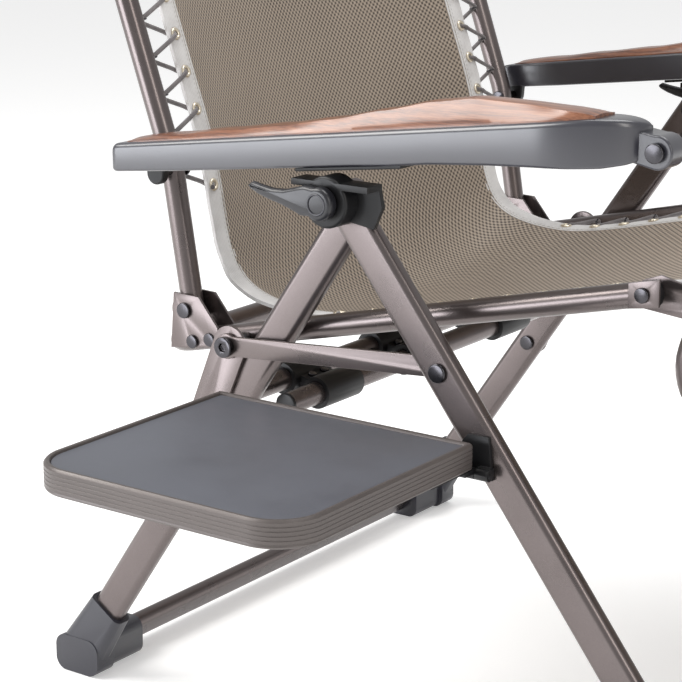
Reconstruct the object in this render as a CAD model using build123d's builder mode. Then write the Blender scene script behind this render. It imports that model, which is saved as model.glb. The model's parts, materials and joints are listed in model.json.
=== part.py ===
from build123d import *
import os
from math import atan2, cos, degrees, hypot, sin, radians

os.makedirs("parts", exist_ok=True)

# ---------------------------------------------------------------- driving sizes (mm)
# X forward (the way the sitter faces), Y to the sitter's left, Z up, floor at Z = 0.
CX, CY = 80.5, -109.5           # design point that becomes the origin's X and Y

O = (8.0, 494.0)                # apex pivot of the legs, side view (X, Z)
FRONT_FOOT = (384.0, 0.0)
REAR_FOOT = (-326.0, 0.0)
Q = (103.0, 369.2)              # link pivot on the front leg
P = (-123.0, 352.0)             # seat pivot
R = (-180.0, 216.0)             # lever pivot on the rear leg
H = (-190.0, 369.0)             # back hinge
S = (294.0, 437.0)              # footrest hinge
V = (-18.0, 122.0)              # arm rises above seat frame (parallelogram)
K = (H[0] + V[0], H[1] + V[1])  # arm pivot on the back
J = (S[0] + V[0], S[1] + V[1])  # arm pivot on the footrest frame

TUBE_R, TUBE_WALL = 10.0, 1.5
LEG_W, LEG_T, LEG_WALL = 32.0, 15.0, 1.5
Y_FRONT_LEG = 323.5             # lateral centre of each plane, measured from the middle
Y_REAR_LEG = 299.5
Y_TUBE = 277.0
Y_FOOT = 254.0
SLING_HALF, SLING_T = 216.0, 4.0
BIND_W = 22.0

SEAT_Z0, SEAT_SLOPE = 384.5, 0.235
def seat_z(x):
    return SEAT_Z0 + SEAT_SLOPE * x

BACK_BEND = (-212.0, 500.0)
BACK_TOP = (-404.0, 1046.0)
FOOT_PTS = [(272.5, 568.0), (306.0, 475.0), (272.0, 362.0), (565.0, 250.0)]


def side(y):
    """Side-view plane at lateral position y; sketch x = X, sketch y = Z; normal -Y."""
    return Plane(origin=(-CX, y - CY, 0), x_dir=(1, 0, 0), z_dir=(0, -1, 0))


def pt(x, y, z):
    return Vector(x - CX, y - CY, z)


def along(p, q):
    d = hypot(q[0] - p[0], q[1] - p[1])
    return ((q[0] - p[0]) / d, (q[1] - p[1]) / d), d


def at(p, q, dist):
    u, _ = along(p, q)
    return (p[0] + u[0] * dist, p[1] + u[1] * dist)


def ang(p, q):
    return degrees(atan2(q[1] - p[1], q[0] - p[0]))


SIDES = ((-1, "right"), (1, "left"))


def outer(s, y):
    return side(s * y)


# ---------------------------------------------------------------- legs
LEG_HEAD = 13.0
BAR_Z = 20.0
for s, tag in SIDES:
    for name, foot, yc in (("front_leg", FRONT_FOOT, Y_FRONT_LEG), ("rear_leg", REAR_FOOT, Y_REAR_LEG)):
        u, L = along(O, foot)
        top = at(O, foot, -LEG_HEAD)
        end = L - BAR_Z / -u[1] + LEG_HEAD + 8.0
        with BuildPart() as leg:
            with BuildSketch(Plane(origin=pt(top[0], s * yc, top[1]), x_dir=(0, 1, 0), z_dir=(u[0], 0, u[1]))):
                RectangleRounded(LEG_T, LEG_W, 6.2)
                RectangleRounded(LEG_T - 2 * LEG_WALL, LEG_W - 2 * LEG_WALL, 4.7, mode=Mode.SUBTRACT)
            extrude(amount=end)
            holes = [(O, 5.05 if name == "rear_leg" else 5.0)]
            if name == "front_leg":
                holes.append((Q, 4.0))
            else:
                holes.append((R, 4.0))
            for c, r in holes:
                with BuildSketch(side(s * yc + 12)):
                    with Locations(c):
                        Circle(r)
                extrude(amount=24, mode=Mode.SUBTRACT)
        leg.part.label = f"{name}_{tag}"
        export_step(leg.part, f"parts/{name}_{tag}.step")

for name, foot, yc in (("front", FRONT_FOOT, Y_FRONT_LEG), ("rear", REAR_FOOT, Y_REAR_LEG)):
    u, L = along(O, foot)
    d = L - BAR_Z / -u[1]
    c = at(O, foot, d)
    half = yc - LEG_T / 2
    with BuildPart() as bar:
        with BuildSketch(Plane(origin=pt(c[0], half, c[1]), x_dir=(u[0], 0, u[1]), z_dir=(0, -1, 0))):
            RectangleRounded(LEG_W, LEG_T, 6.2)
            RectangleRounded(LEG_W - 2 * LEG_WALL, LEG_T - 2 * LEG_WALL, 4.7, mode=Mode.SUBTRACT)
        extrude(amount=2 * half)
    bar.part.label = f"{name}_floor_bar"
    export_step(bar.part, f"parts/{name}_floor_bar.step")
    # moulded boots: a sleeve up the leg, a sleeve along the bar and a flat sole
    for s, tag in SIDES:
        with BuildPart() as boot:
            t = at(O, foot, d - 62.0)
            with BuildSketch(Plane(origin=pt(t[0], s * yc, t[1]), x_dir=(0, 1, 0), z_dir=(u[0], 0, u[1]))):
                RectangleRounded(LEG_T + 6, LEG_W + 8, 7)
            with BuildSketch(Plane(origin=pt(c[0], s * yc, c[1]), x_dir=(0, 1, 0), z_dir=(u[0], 0, u[1]))):
                RectangleRounded(LEG_T + 8, LEG_W + 16, 8)
            loft()
            with BuildSketch(side(s * yc + 12)):
                with Locations((c[0], c[1] - 2.0)):
                    RectangleRounded(52, 36, 12)
            extrude(amount=24)
            yi = s * (half - 52)
            lo, hi = min(yi, s * (half + 2)), max(yi, s * (half + 2))
            with BuildSketch(side(hi)):
                with Locations((c[0], c[1] - 1.0)):
                    RectangleRounded(42, 38, 11)
            extrude(amount=hi - lo)
            # room for the tubes
            with BuildSketch(Plane(origin=pt(t[0], s * yc, t[1]), x_dir=(0, 1, 0), z_dir=(u[0], 0, u[1]))):
                RectangleRounded(LEG_T, LEG_W, 6.2)
            extrude(amount=62.0 + 8.0, mode=Mode.SUBTRACT)
            with BuildSketch(Plane(origin=pt(c[0], s * half if s > 0 else s * half + 70, c[1]), x_dir=(u[0], 0, u[1]), z_dir=(0, -1, 0))):
                RectangleRounded(LEG_W, LEG_T, 6.2)
            extrude(amount=70, mode=Mode.SUBTRACT)
            with BuildSketch(Plane(origin=(0, 0, -20))):
                Rectangle(3000, 3000)
            extrude(amount=20, mode=Mode.SUBTRACT)
        boot.part.label = f"{name}_foot_{tag}"
        export_step(boot.part, f"parts/{name}_foot_{tag}.step")

# ---------------------------------------------------------------- apex: bolts, barrels, cam levers
with BuildPart() as apex:
    for s, tag in SIDES:
        y1, y2 = s * 288.2, s * 331.3
        with BuildSketch(side(max(y1, y2))):
            with Locations(O):
                Circle(5.0)
        extrude(amount=abs(y2 - y1))
        y1, y2 = s * 288.2, s * 291.8
        with BuildSketch(side(max(y1, y2))):
            with Locations(O):
                Circle(10.0)
        extrude(amount=3.6)
apex.part.label = "apex_bolts"
export_step(apex.part, "parts/apex_bolts.step")

for s, tag in SIDES:
    with BuildPart() as barrel:
        y1, y2 = sorted((s * 331.3, s * 352.0))
        with BuildSketch(side(y2)):
            with Locations((O[0], O[1] + 4)):
                Circle(21.0)
        extrude(amount=y2 - y1)
        fillet(barrel.edges().filter_by(GeomType.CIRCLE).sort_by(Axis.Y)[0 if s < 0 else -1], 2.5)
        # saddle over the leg heads and the pointed cheek in front of them
        y1, y2 = sorted((s * 331.3, s * 352.0))
        with BuildSketch(side(y2)):
            with Locations((O[0] + 4, O[1] + 18.0)):
                Rectangle(74, 5.0)
        extrude(amount=y2 - y1)
        y1, y2 = sorted((s * 331.3, s * 336.0))
        with BuildSketch(side(y2)):
            with BuildLine():
                Polyline((O[0] + 8, O[1] + 20.5), (O[0] + 40, O[1] + 20.5), (O[0] + 44, O[1] + 2), (O[0] + 36, O[1] - 16),
                         (O[0] + 10, O[1] - 12), (O[0] + 8, O[1] + 20.5))
            make_face()
        extrude(amount=y2 - y1)
        # recess that takes the lever's hub spigot
        y1, y2 = sorted((s * 345.0, s * 352.0))
        with BuildSketch(side(y2)):
            with Locations((O[0], O[1] + 4)):
                Circle(6.05)
        extrude(amount=y2 - y1, mode=Mode.SUBTRACT)
    barrel.part.label = f"cam_barrel_{tag}"
    export_step(barrel.part, f"parts/cam_barrel_{tag}.step")

    CAM = (O[0], O[1] + 4)
    TIP = (O[0] - 70, O[1] + 9)
    with BuildPart() as cam:
        y1, y2 = sorted((s * 352.3, s * 360.0))
        with BuildSketch(side(y2)):
            with Locations(CAM):
                Circle(13.0)
            with BuildLine():
                Polyline((CAM[0], CAM[1] + 10), (TIP[0], TIP[1] + 5), (TIP[0] - 6, TIP[1] - 1), (TIP[0], TIP[1] - 7),
                         (CAM[0], CAM[1] - 11), (CAM[0], CAM[1] + 10))
            make_face()
        extrude(amount=y2 - y1)
        fillet(cam.faces().sort_by(Axis.Y)[0 if s < 0 else -1].edges(), 1.6)
        y1, y2 = sorted((s * 346.0, s * 353.0))
        with BuildSketch(side(y2)):
            with Locations(CAM):
                Circle(6.0)
        extrude(amount=y2 - y1)
        y1, y2 = sorted((s * 358.5, s * 364.0))
        with BuildSketch(side(y2)):
            with Locations(CAM):
                Circle(7.5)
        extrude(amount=y2 - y1)
        with BuildSketch(side(y2 if s > 0 else y1 + 2)):
            with Locations(CAM):
                Circle(4.5)
        extrude(amount=2, mode=Mode.SUBTRACT)
    cam.part.label = f"cam_lever_{tag}"
    export_step(cam.part, f"parts/cam_lever_{tag}.step")

# ---------------------------------------------------------------- link bars, levers, their pivots
for s, tag in SIDES:
    with BuildPart() as link:
        y1, y2 = sorted((s * 311.2, s * 315.2))
        with BuildSketch(side(y2)):
            with Locations(((P[0] + Q[0]) / 2, (P[1] + Q[1]) / 2)):
                SlotCenterToCenter(hypot(Q[0] - P[0], Q[1] - P[1]), 17, rotation=ang(P, Q))
            with Locations(P):
                Circle(11)
            with Locations(Q):
                Circle(10)
                Circle(4.05, mode=Mode.SUBTRACT)
        extrude(amount=y2 - y1)
    link.part.label = f"link_bar_{tag}"
    export_step(link.part, f"parts/link_bar_{tag}.step")

    u, L = along(R, P)
    with BuildPart() as lever:
        y1, y2 = sorted((s * 307.6, s * 310.8))
        with BuildSketch(side(y2)):
            with BuildLine():
                n = (-u[1], u[0])
                a, b = R, P
                Polyline((a[0] + n[0] * 15, a[1] + n[1] * 15), (b[0] + n[0] * 17, b[1] + n[1] * 17),
                         (b[0] - n[0] * 17, b[1] - n[1] * 17), (a[0] - n[0] * 15, a[1] - n[1] * 15),
                         (a[0] + n[0] * 15, a[1] + n[1] * 15))
            make_face()
            with Locations(R):
                Circle(15)
            with Locations(P):
                Circle(17)
            with Locations(R):
                Circle(4.05, mode=Mode.SUBTRACT)
            with Locations(P):
                Circle(5.05, mode=Mode.SUBTRACT)
        extrude(amount=y2 - y1)
    lever.part.label = f"lever_arm_{tag}"
    export_step(lever.part, f"parts/lever_arm_{tag}.step")

with BuildPart() as link_rivets:
    for s, tag in SIDES:
        for r, ya, yb in ((4.0, 311.0, 331.2), (8.0, 331.2, 334.2)):
            y1, y2 = sorted((s * ya, s * yb))
            with BuildSketch(side(y2)):
                with Locations(Q):
                    Circle(r)
            extrude(amount=y2 - y1)
link_rivets.part.label = "link_pivot_rivets"
export_step(link_rivets.part, "parts/link_pivot_rivets.step")

with BuildPart() as link_ends:
    for s, tag in SIDES:
        y1, y2 = sorted((s * 315.2, s * 321.0))
        with BuildSketch(side(y2)):
            with Locations(P):
                Circle(9.0)
        extrude(amount=y2 - y1)
        y1, y2 = sorted((s * 318.0, s * 321.0))
        with BuildSketch(side(y2)):
            with Locations(P):
                RegularPolygon(4.0, 6)
        extrude(amount=y2 - y1, mode=Mode.SUBTRACT)
link_ends.part.label = "link_end_bolts"
export_step(link_ends.part, "parts/link_end_bolts.step")

with BuildPart() as lever_rivets:
    for s, tag in SIDES:
        for r, ya, yb in ((4.0, 290.0, 310.9), (8.0, 288.5, 291.9)):
            y1, y2 = sorted((s * ya, s * yb))
            with BuildSketch(side(y2)):
                with Locations(R):
                    Circle(r)
            extrude(amount=y2 - y1)
lever_rivets.part.label = "lever_pivot_rivets"
export_step(lever_rivets.part, "parts/lever_pivot_rivets.step")

with BuildPart() as seat_bolts:
    for s, tag in SIDES:
        y1, y2 = sorted((s * 266.0, s * 310.8))
        with BuildSketch(side(y2)):
            with Locations(P):
                Circle(5.0)
        extrude(amount=y2 - y1)
        y1, y2 = sorted((s * 288.0, s * 307.2))
        with BuildSketch(side(y2)):
            with Locations(P):
                Circle(7.5)
        extrude(amount=y2 - y1)
seat_bolts.part.label = "seat_pivot_bolts"
export_step(seat_bolts.part, "parts/seat_pivot_bolts.step")

# ---------------------------------------------------------------- crossbars between the rear legs
u_b, _ = along(O, REAR_FOOT)
BAR1 = (-118.5, 307.0)
BAR2 = (-82.0, 300.0)
half_b = Y_REAR_LEG - LEG_T / 2
with BuildPart() as bar1:
    with BuildSketch(side(half_b)):
        with Locations(BAR1):
            Circle(10.0)
            Circle(8.5, mode=Mode.SUBTRACT)
    extrude(amount=2 * half_b)
bar1.part.label = "mid_crossbar_upper"
export_step(bar1.part, "parts/mid_crossbar_upper.step")
with BuildPart() as bar2:
    with BuildSketch(side(half_b - 9)):
        with Locations(BAR2):
            Circle(10.0)
            Circle(8.5, mode=Mode.SUBTRACT)
    extrude(amount=2 * (half_b - 9))
bar2.part.label = "mid_crossbar_lower"
export_step(bar2.part, "parts/mid_crossbar_lower.step")
CLAMP_Y = (-214.0, -78.0)
with BuildPart() as clamps:
    for yc in CLAMP_Y + tuple(-v for v in CLAMP_Y):
        with BuildSketch(side(yc + 27)):
            with Locations(BAR1):
                Circle(14.5)
            with Locations(BAR2):
                Circle(14.5)
        extrude(amount=54)
        with BuildSketch(side(yc + 19)):
            with Locations(((BAR1[0] + BAR2[0]) / 2, (BAR1[1] + BAR2[1]) / 2)):
                Rectangle(30, 12, rotation=ang(BAR1, BAR2))
        extrude(amount=38)
        with BuildSketch(side(yc + 27)):
            with Locations(BAR1, BAR2):
                Circle(10.0)
        extrude(amount=54, mode=Mode.SUBTRACT)
        a = radians(ang(BAR1, BAR2))
        up = Vector(-sin(a), 0, cos(a))
        for dy in (-9, 9):
            m = pt((BAR1[0] + BAR2[0]) / 2, yc + dy, (BAR1[1] + BAR2[1]) / 2)
            with BuildSketch(Plane(origin=m + up * 3.0, x_dir=(0, 1, 0), z_dir=up)):
                Circle(2.0)
            extrude(amount=12, mode=Mode.SUBTRACT)
clamps.part.label = "crossbar_clamps"
export_step(clamps.part, "parts/crossbar_clamps.step")
with BuildPart() as screws:
    a = radians(ang(BAR1, BAR2))
    up = Vector(-sin(a), 0, cos(a))
    for yc in CLAMP_Y + tuple(-v for v in CLAMP_Y):
        for dy in (-9, 9):
            m = pt((BAR1[0] + BAR2[0]) / 2, yc + dy, (BAR1[1] + BAR2[1]) / 2)
            with BuildSketch(Plane(origin=m + up * 3.0, x_dir=(0, 1, 0), z_dir=up)):
                Circle(2.0)
            extrude(amount=4)
            with BuildSketch(Plane(origin=m + up * 6.0, x_dir=(0, 1, 0), z_dir=up)):
                Circle(4.2)
            extrude(amount=2.6)
screws.part.label = "clamp_screws"
export_step(screws.part, "parts/clamp_screws.step")
with BuildPart() as plugs:
    for s, tag in SIDES:
        for bar, hb in ((BAR2, half_b - 9),):
            y1, y2 = sorted((s * (hb - 10), s * (hb + 3)))
            with BuildSketch(side(y2)):
                with Locations(bar):
                    Circle(8.5)
            extrude(amount=y2 - y1)
            y1, y2 = sorted((s * hb, s * (hb + 3)))
            with BuildSketch(side(y2)):
                with Locations(bar):
                    Circle(10.0)
            extrude(amount=y2 - y1)
plugs.part.label = "crossbar_plugs"
export_step(plugs.part, "parts/crossbar_plugs.step")

# ---------------------------------------------------------------- tube frames
SEAT_REAR, SEAT_FRONT = -222.0, 262.0
def hollow_sweep_sketch(line):
    return Plane(origin=line @ 0, z_dir=line % 0)

with BuildPart() as seat_tube:
    with BuildLine() as path:
        FilletPolyline(pt(SEAT_FRONT, -Y_TUBE, seat_z(SEAT_FRONT)), pt(SEAT_REAR, -Y_TUBE, seat_z(SEAT_REAR)),
                       pt(SEAT_REAR, Y_TUBE, seat_z(SEAT_REAR)), pt(SEAT_FRONT, Y_TUBE, seat_z(SEAT_FRONT)), radius=34)
    with BuildSketch(hollow_sweep_sketch(path.line)):
        Circle(TUBE_R)
        Circle(TUBE_R - TUBE_WALL, mode=Mode.SUBTRACT)
    sweep()
    for s, tag in SIDES:
        y1, y2 = sorted((s * 262.0, s * 292.0))
        with BuildSketch(side(y2)):
            with Locations(P):
                Circle(5.05)
        extrude(amount=30, mode=Mode.SUBTRACT)
seat_tube.part.label = "seat_frame_tube"
export_step(seat_tube.part, "parts/seat_frame_tube.step")

with BuildPart() as seat_plugs:
    for s, tag in SIDES:
        c = (SEAT_FRONT, seat_z(SEAT_FRONT))
        uu = Vector(1, 0, SEAT_SLOPE).normalized()
        with BuildSketch(Plane(origin=pt(c[0], s * Y_TUBE, c[1]) - uu * 12, z_dir=uu)):
            Circle(TUBE_R - TUBE_WALL)
        extrude(amount=12)
        with BuildSketch(Plane(origin=pt(c[0], s * Y_TUBE, c[1]), z_dir=uu)):
            Circle(TUBE_R)
        extrude(amount=3)
seat_plugs.part.label = "seat_tube_plugs"
export_step(seat_plugs.part, "parts/seat_tube_plugs.step")

with BuildPart() as back_tube:
    b0 = (H[0] + 1.5, H[1] - 9)
    with BuildLine() as path:
        FilletPolyline(pt(b0[0], -Y_TUBE, b0[1]), pt(BACK_BEND[0], -Y_TUBE, BACK_BEND[1]),
                       pt(BACK_TOP[0], -Y_TUBE, BACK_TOP[1]), pt(BACK_TOP[0], Y_TUBE, BACK_TOP[1]),
                       pt(BACK_BEND[0], Y_TUBE, BACK_BEND[1]), pt(b0[0], Y_TUBE, b0[1]), radius=70)
    with BuildSketch(hollow_sweep_sketch(path.line)):
        Circle(TUBE_R)
        Circle(TUBE_R - TUBE_WALL, mode=Mode.SUBTRACT)
    sweep()
    for s, tag in SIDES:
        y1, y2 = sorted((s * 262.0, s * 292.0))
        with BuildSketch(side(y2)):
            with Locations(H, K):
                Circle(4.05)
        extrude(amount=30, mode=Mode.SUBTRACT)
back_tube.part.label = "back_frame_tube"
export_step(back_tube.part, "parts/back_frame_tube.step")

with BuildPart() as foot_tube:
    with BuildLine() as path:
        pr = [pt(x, -Y_FOOT, z) for x, z in FOOT_PTS]
        pl = [pt(x, Y_FOOT, z) for x, z in reversed(FOOT_PTS)]
        FilletPolyline(*pr, *pl, radius=42)
    with BuildSketch(hollow_sweep_sketch(path.line)):
        Circle(TUBE_R)
        Circle(TUBE_R - TUBE_WALL, mode=Mode.SUBTRACT)
    sweep()
    for s, tag in SIDES:
        y1, y2 = sorted((s * 240.0, s * 268.0))
        with BuildSketch(side(y2)):
            with Locations(S, J):
                Circle(4.05)
        extrude(amount=28, mode=Mode.SUBTRACT)
foot_tube.part.label = "footrest_frame_tube"
export_step(foot_tube.part, "parts/footrest_frame_tube.step")

# ---------------------------------------------------------------- hinge plates and rivets
RIVETS_LOW = [(-181.0, seat_z(-181.0)), (-162.0, seat_z(-162.0))]
for nm, ya, yb in (("hinge_plates_outer", 287.2, 289.6), ("hinge_plates_inner", 264.4, 266.8)):
    with BuildPart() as plates:
        for s, tag in SIDES:
            y1, y2 = sorted((s * ya, s * yb))
            with BuildSketch(side(y2)):
                with BuildLine():
                    if ya > 270:
                        Polyline((-206, 333), (-152, 341), (-153, 358), (-174, 383), (-202, 384), (-206, 333))
                    else:
                        Polyline((-186, 334), (-152, 341), (-153, 358), (-174, 383), (-202, 384), (-202, 360), (-186, 355), (-186, 334))
                make_face()
                with Locations(H):
                    Circle(14)
                with Locations(H):
                    Circle(4.05, mode=Mode.SUBTRACT)
                with Locations(*RIVETS_LOW):
                    Circle(3.0, mode=Mode.SUBTRACT)
            extrude(amount=y2 - y1)
    plates.part.label = nm
    export_step(plates.part, f"parts/{nm}.step")

BR = (258.0, seat_z(258.0) + 1.0)
with BuildPart() as brackets:
    for s, tag in SIDES:
        for ya, yb in ((264.4, 266.8), (287.2, 289.6)):
            y1, y2 = sorted((s * ya, s * yb))
            with BuildSketch(side(y2)):
                if ya < 270:
                    with BuildLine():
                        Polyline((246, 430), (246, 452), (262, 458), (300, 448), (306, 436), (298, 425), (246, 430))
                    make_face()
                    with Locations(S):
                        Circle(4.05, mode=Mode.SUBTRACT)
                else:
                    with BuildLine():
                        Polyline((246, 434), (246, 454), (272, 460), (272, 438), (246, 434))
                    make_face()
                with Locations(BR):
                    Circle(3.0, mode=Mode.SUBTRACT)
            extrude(amount=y2 - y1)
brackets.part.label = "front_bracket_plates"
export_step(brackets.part, "parts/front_bracket_plates.step")

with BuildPart() as plate_rivets:
    for s, tag in SIDES:
        for c in RIVETS_LOW + [BR]:
            for r, ya, yb in ((3.0, 262.9, 266.8), (6.0, 262.0, 264.4), (3.0, 287.2, 291.2), (6.0, 289.6, 292.0)):
                if c == RIVETS_LOW[1] and r == 6.0 and ya > 280:
                    yb = 291.4
                y1, y2 = sorted((s * ya, s * yb))
                with BuildSketch(side(y2)):
                    with Locations(c):
                        Circle(r)
                extrude(amount=y2 - y1)
plate_rivets.part.label = "hinge_plate_rivets"
export_step(plate_rivets.part, "parts/hinge_plate_rivets.step")

with BuildPart() as back_rivets:
    for s, tag in SIDES:
        for r, ya, yb in ((4.0, 262.0, 291.0), (7.0, 261.5, 264.2), (7.0, 289.8, 292.4)):
            y1, y2 = sorted((s * ya, s * yb))
            with BuildSketch(side(y2)):
                with Locations(H):
                    Circle(r)
            extrude(amount=y2 - y1)
back_rivets.part.label = "back_hinge_rivets"
export_step(back_rivets.part, "parts/back_hinge_rivets.step")

with BuildPart() as foot_rivets:
    for s, tag in SIDES:
        for r, ya, yb in ((4.0, 241.0, 267.5), (7.0, 240.5, 243.6), (7.0, 267.1, 270.0)):
            y1, y2 = sorted((s * ya, s * yb))
            with BuildSketch(side(y2)):
                with Locations(S):
                    Circle(r)
            extrude(amount=y2 - y1)
foot_rivets.part.label = "foot_pivot_rivets"
export_step(foot_rivets.part, "parts/foot_pivot_rivets.step")

# ---------------------------------------------------------------- armrests
ARM_IN, ARM_OUT = 296.0, 343.4
def arm_bottom(x):
    return 524.0 + 0.125 * x
def arm_top(x):
    return 551.5 + 0.135 * x
with BuildPart() as arm_bolts:
    for s, tag in SIDES:
        for r, ya, yb in ((4.0, 264.0, 299.9), (7.0, 264.0, 266.6)):
            y1, y2 = sorted((s * ya, s * yb))
            with BuildSketch(side(y2)):
                with Locations(K):
                    Circle(r)
            extrude(amount=y2 - y1)
arm_bolts.part.label = "arm_pivot_bolts"
export_step(arm_bolts.part, "parts/arm_pivot_bolts.step")

def front_cutter(s, y_flat):
    """Solid outside a quarter ellipse, seen from above, at the outer front corner."""
    pts = [(188 + 77 * sin(radians(9 * k)), s * (y_flat - 44.5 * (1 - cos(radians(9 * k))))) for k in range(11)]
    with BuildPart() as cutter:
        with BuildSketch(Plane(origin=pt(0, 0, 440))):
            with BuildLine():
                curve = Spline(*pts)
                Polyline(curve @ 1, (300, pts[-1][1]), (300, s * 360), (188, s * 360), curve @ 0)
            make_face()
        extrude(amount=200)
    return cutter.part

CASING_CUT = {s: front_cutter(s, ARM_OUT) for s, tag in SIDES}
WOOD_CUT = {s: front_cutter(s, ARM_OUT - 3.3) for s, tag in SIDES}

for s, tag in SIDES:
    with BuildPart() as casing:
        y1, y2 = sorted((s * ARM_IN, s * ARM_OUT))
        with BuildSketch(side(y2)):
            with BuildLine():
                Polyline((-224, arm_bottom(-224) + 1), (-224, 512), (-218, arm_top(-218)), (150, arm_top(150)), (236, arm_top(236) - 1),
                         (256, 574), (262, 560), (252, 548), (215, 545), (150, 542), (60, arm_bottom(60)), (-150, arm_bottom(-150)),
                         (-224, arm_bottom(-224) + 1))
            make_face()
        extrude(amount=y2 - y1)
        vert = [e for e in casing.edges().filter_by(Axis.Y)]
        fillet(casing.faces().sort_by(Axis.Y)[0 if s < 0 else -1].edges(), 3.0)
        add(CASING_CUT[s], mode=Mode.SUBTRACT)
        # ear round the rear pivot, on the inner side only
        y1, y2 = sorted((s * ARM_IN, s * 306.0))
        with BuildSketch(side(y2)):
            with Locations(K):
                Circle(12.5)
            with BuildLine():
                Polyline((-220.5, 508), (-220.5, K[1]), (-195.5, K[1]), (-195.5, 508), (-220.5, 508))
            make_face()
        extrude(amount=y2 - y1)
        # ear that the front pivot bolt passes through
        y1, y2 = sorted((s * 288.0, s * 312.0))
        with BuildSketch(side(y2)):
            with Locations(J):
                Circle(13.0)
            with BuildLine():
                Polyline((240, 552), (240, 572), (J[0], J[1] + 12), (J[0], J[1] - 12), (240, 552))
            make_face()
        extrude(amount=y2 - y1)
        for c, r, ya, yb in ((K, 4.05, 290.0, 300.2), (J, 4.0, 280.0, 320.0)):
            y1, y2 = sorted((s * ya, s * yb))
            with BuildSketch(side(y2)):
                with Locations(c):
                    Circle(r)
            extrude(amount=y2 - y1, mode=Mode.SUBTRACT)
        # seat cut for the wooden top
        y1, y2 = sorted((s * (ARM_IN + 3), s * (ARM_OUT - 3)))
        with BuildSketch(side(y2)):
            with BuildLine():
                Polyline((-212, arm_top(-212) - 5), (-212, 620), (236, 620), (236, arm_top(236) - 5), (-212, arm_top(-212) - 5))
            make_face()
        extrude(amount=y2 - y1, mode=Mode.SUBTRACT)
    casing.part.label = f"armrest_casing_{tag}"
    export_step(casing.part, f"parts/armrest_casing_{tag}.step")

    with BuildPart() as wood:
        y1, y2 = sorted((s * (ARM_IN + 3.3), s * (ARM_OUT - 3.3)))
        with BuildSketch(side(y2)):
            with BuildLine():
                l1 = Polyline((235.5, arm_top(235.5) - 4.8), (-211.5, arm_top(-211.5) - 4.8), (-211.5, arm_top(-211.5) + 3))
                l2 = Spline(l1 @ 1, (-110, 543.0), (0, 562.0), (95, 584.5), (132, 590.0), (175, 589.0), (235.5, 586.5))
                Line(l2 @ 1, l1 @ 0)
            make_face()
        extrude(amount=y2 - y1)
        fillet(wood.edges().filter_by(lambda e: e.length > 300).sort_by(Axis.Z)[-2:], 3.0)
        add(WOOD_CUT[s], mode=Mode.SUBTRACT)
    wood.part.label = f"armrest_wood_{tag}"
    export_step(wood.part, f"parts/armrest_wood_{tag}.step")

with BuildPart() as rails:
    for s, tag in SIDES:
        y1, y2 = sorted((s * 304.0, s * 340.0))
        with BuildSketch(side(y2)):
            with BuildLine():
                Polyline((-30, arm_bottom(-30) - 0.2), (72, arm_bottom(72) - 0.2), (72, arm_bottom(72) - 3.0), (-30, arm_bottom(-30) - 3.0),
                         (-30, arm_bottom(-30) - 0.2))
            make_face()
        extrude(amount=y2 - y1)
rails.part.label = "slide_rails"
export_step(rails.part, "parts/slide_rails.step")

with BuildPart() as front_bolts:
    for s, tag in SIDES:
        for r, ya, yb in ((4.0, 242.0, 314.5), (7.5, 312.0, 316.0), (7.0, 240.0, 243.4), (7.0, 264.6, 287.7)):
            y1, y2 = sorted((s * ya, s * yb))
            with BuildSketch(side(y2)):
                with Locations(J):
                    Circle(r)
            extrude(amount=y2 - y1)
front_bolts.part.label = "arm_front_bolts"
export_step(front_bolts.part, "parts/arm_front_bolts.step")

# ---------------------------------------------------------------- side table on the right front leg
TX0, TX1 = -107.0, 146.0
TY0, TY1 = -344.0, -583.0
TZ0, TZ1 = 301.0, 323.0
cxt, cyt = (TX0 + TX1) / 2, (TY0 + TY1) / 2
def table_outline(grow, r):
    w, h = (TX1 - TX0) + 2 * grow, (TY0 - TY1) + 2 * grow
    return w, h
with BuildPart() as board:
    with BuildSketch(Plane(origin=pt(cxt, cyt, TZ0 + 3))):
        Rectangle(TX1 - TX0 - 10.4, TY0 - TY1 - 10.4)
    extrude(amount=TZ1 - TZ0 - 5)
    fillet(board.edges().filter_by(Axis.Z).sort_by(Axis.Y)[:2], 34)
    fillet(board.faces().sort_by(Axis.Z)[-1].edges(), 1.0)
board.part.label = "table_board"
export_step(board.part, "parts/table_board.step")
with BuildPart() as rim:
    with BuildSketch(Plane(origin=pt(cxt, cyt, TZ0))):
        Rectangle(TX1 - TX0, TY0 - TY1)
    extrude(amount=TZ1 - TZ0)
    fillet(rim.edges().filter_by(Axis.Z).sort_by(Axis.Y)[:2], 39)
    fillet(rim.edges().filter_by(Axis.Z).sort_by(Axis.Y)[-2:], 3)
    with BuildSketch(Plane(origin=pt(cxt, cyt, TZ0 - 1))):
        r2 = Rectangle(TX1 - TX0 - 10, TY0 - TY1 - 10)
        fillet(r2.vertices().sort_by(Axis.Y)[:2], 34.2)
    extrude(amount=TZ1 - TZ0 + 2, mode=Mode.SUBTRACT)
rim.part.label = "table_rim"
export_step(rim.part, "parts/table_rim.step")

HINGE_Y, HINGE_Z = -339.6, 296.5
def yz(x):
    """Plane facing +X at X = x; sketch x = Y, sketch y = Z."""
    return Plane(origin=(x - CX, -CY, 0), x_dir=(0, 1, 0), z_dir=(1, 0, 0))
with BuildPart() as tb:
    # plate against the leg's outer face with a knuckle at its foot
    with BuildSketch(side(-331.3)):
        with BuildLine():
            Polyline((116, 291), (157, 291), (153, 326), (134, 326), (116, 303), (116, 291))
        make_face()
    extrude(amount=3.2)
    for x1, x2 in ((116, 128), (146, 158)):
        with BuildSketch(yz(x1)):
            with Locations((HINGE_Y, HINGE_Z)):
                Circle(4.6)
            with Locations((HINGE_Y + 3, HINGE_Z + 2)):
                Rectangle(6, 7)
        extrude(amount=x2 - x1)
    with BuildSketch(yz(115)):
        with Locations((HINGE_Y, HINGE_Z)):
            Circle(2.0)
    extrude(amount=44)
tb.part.label = "table_bracket"
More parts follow.
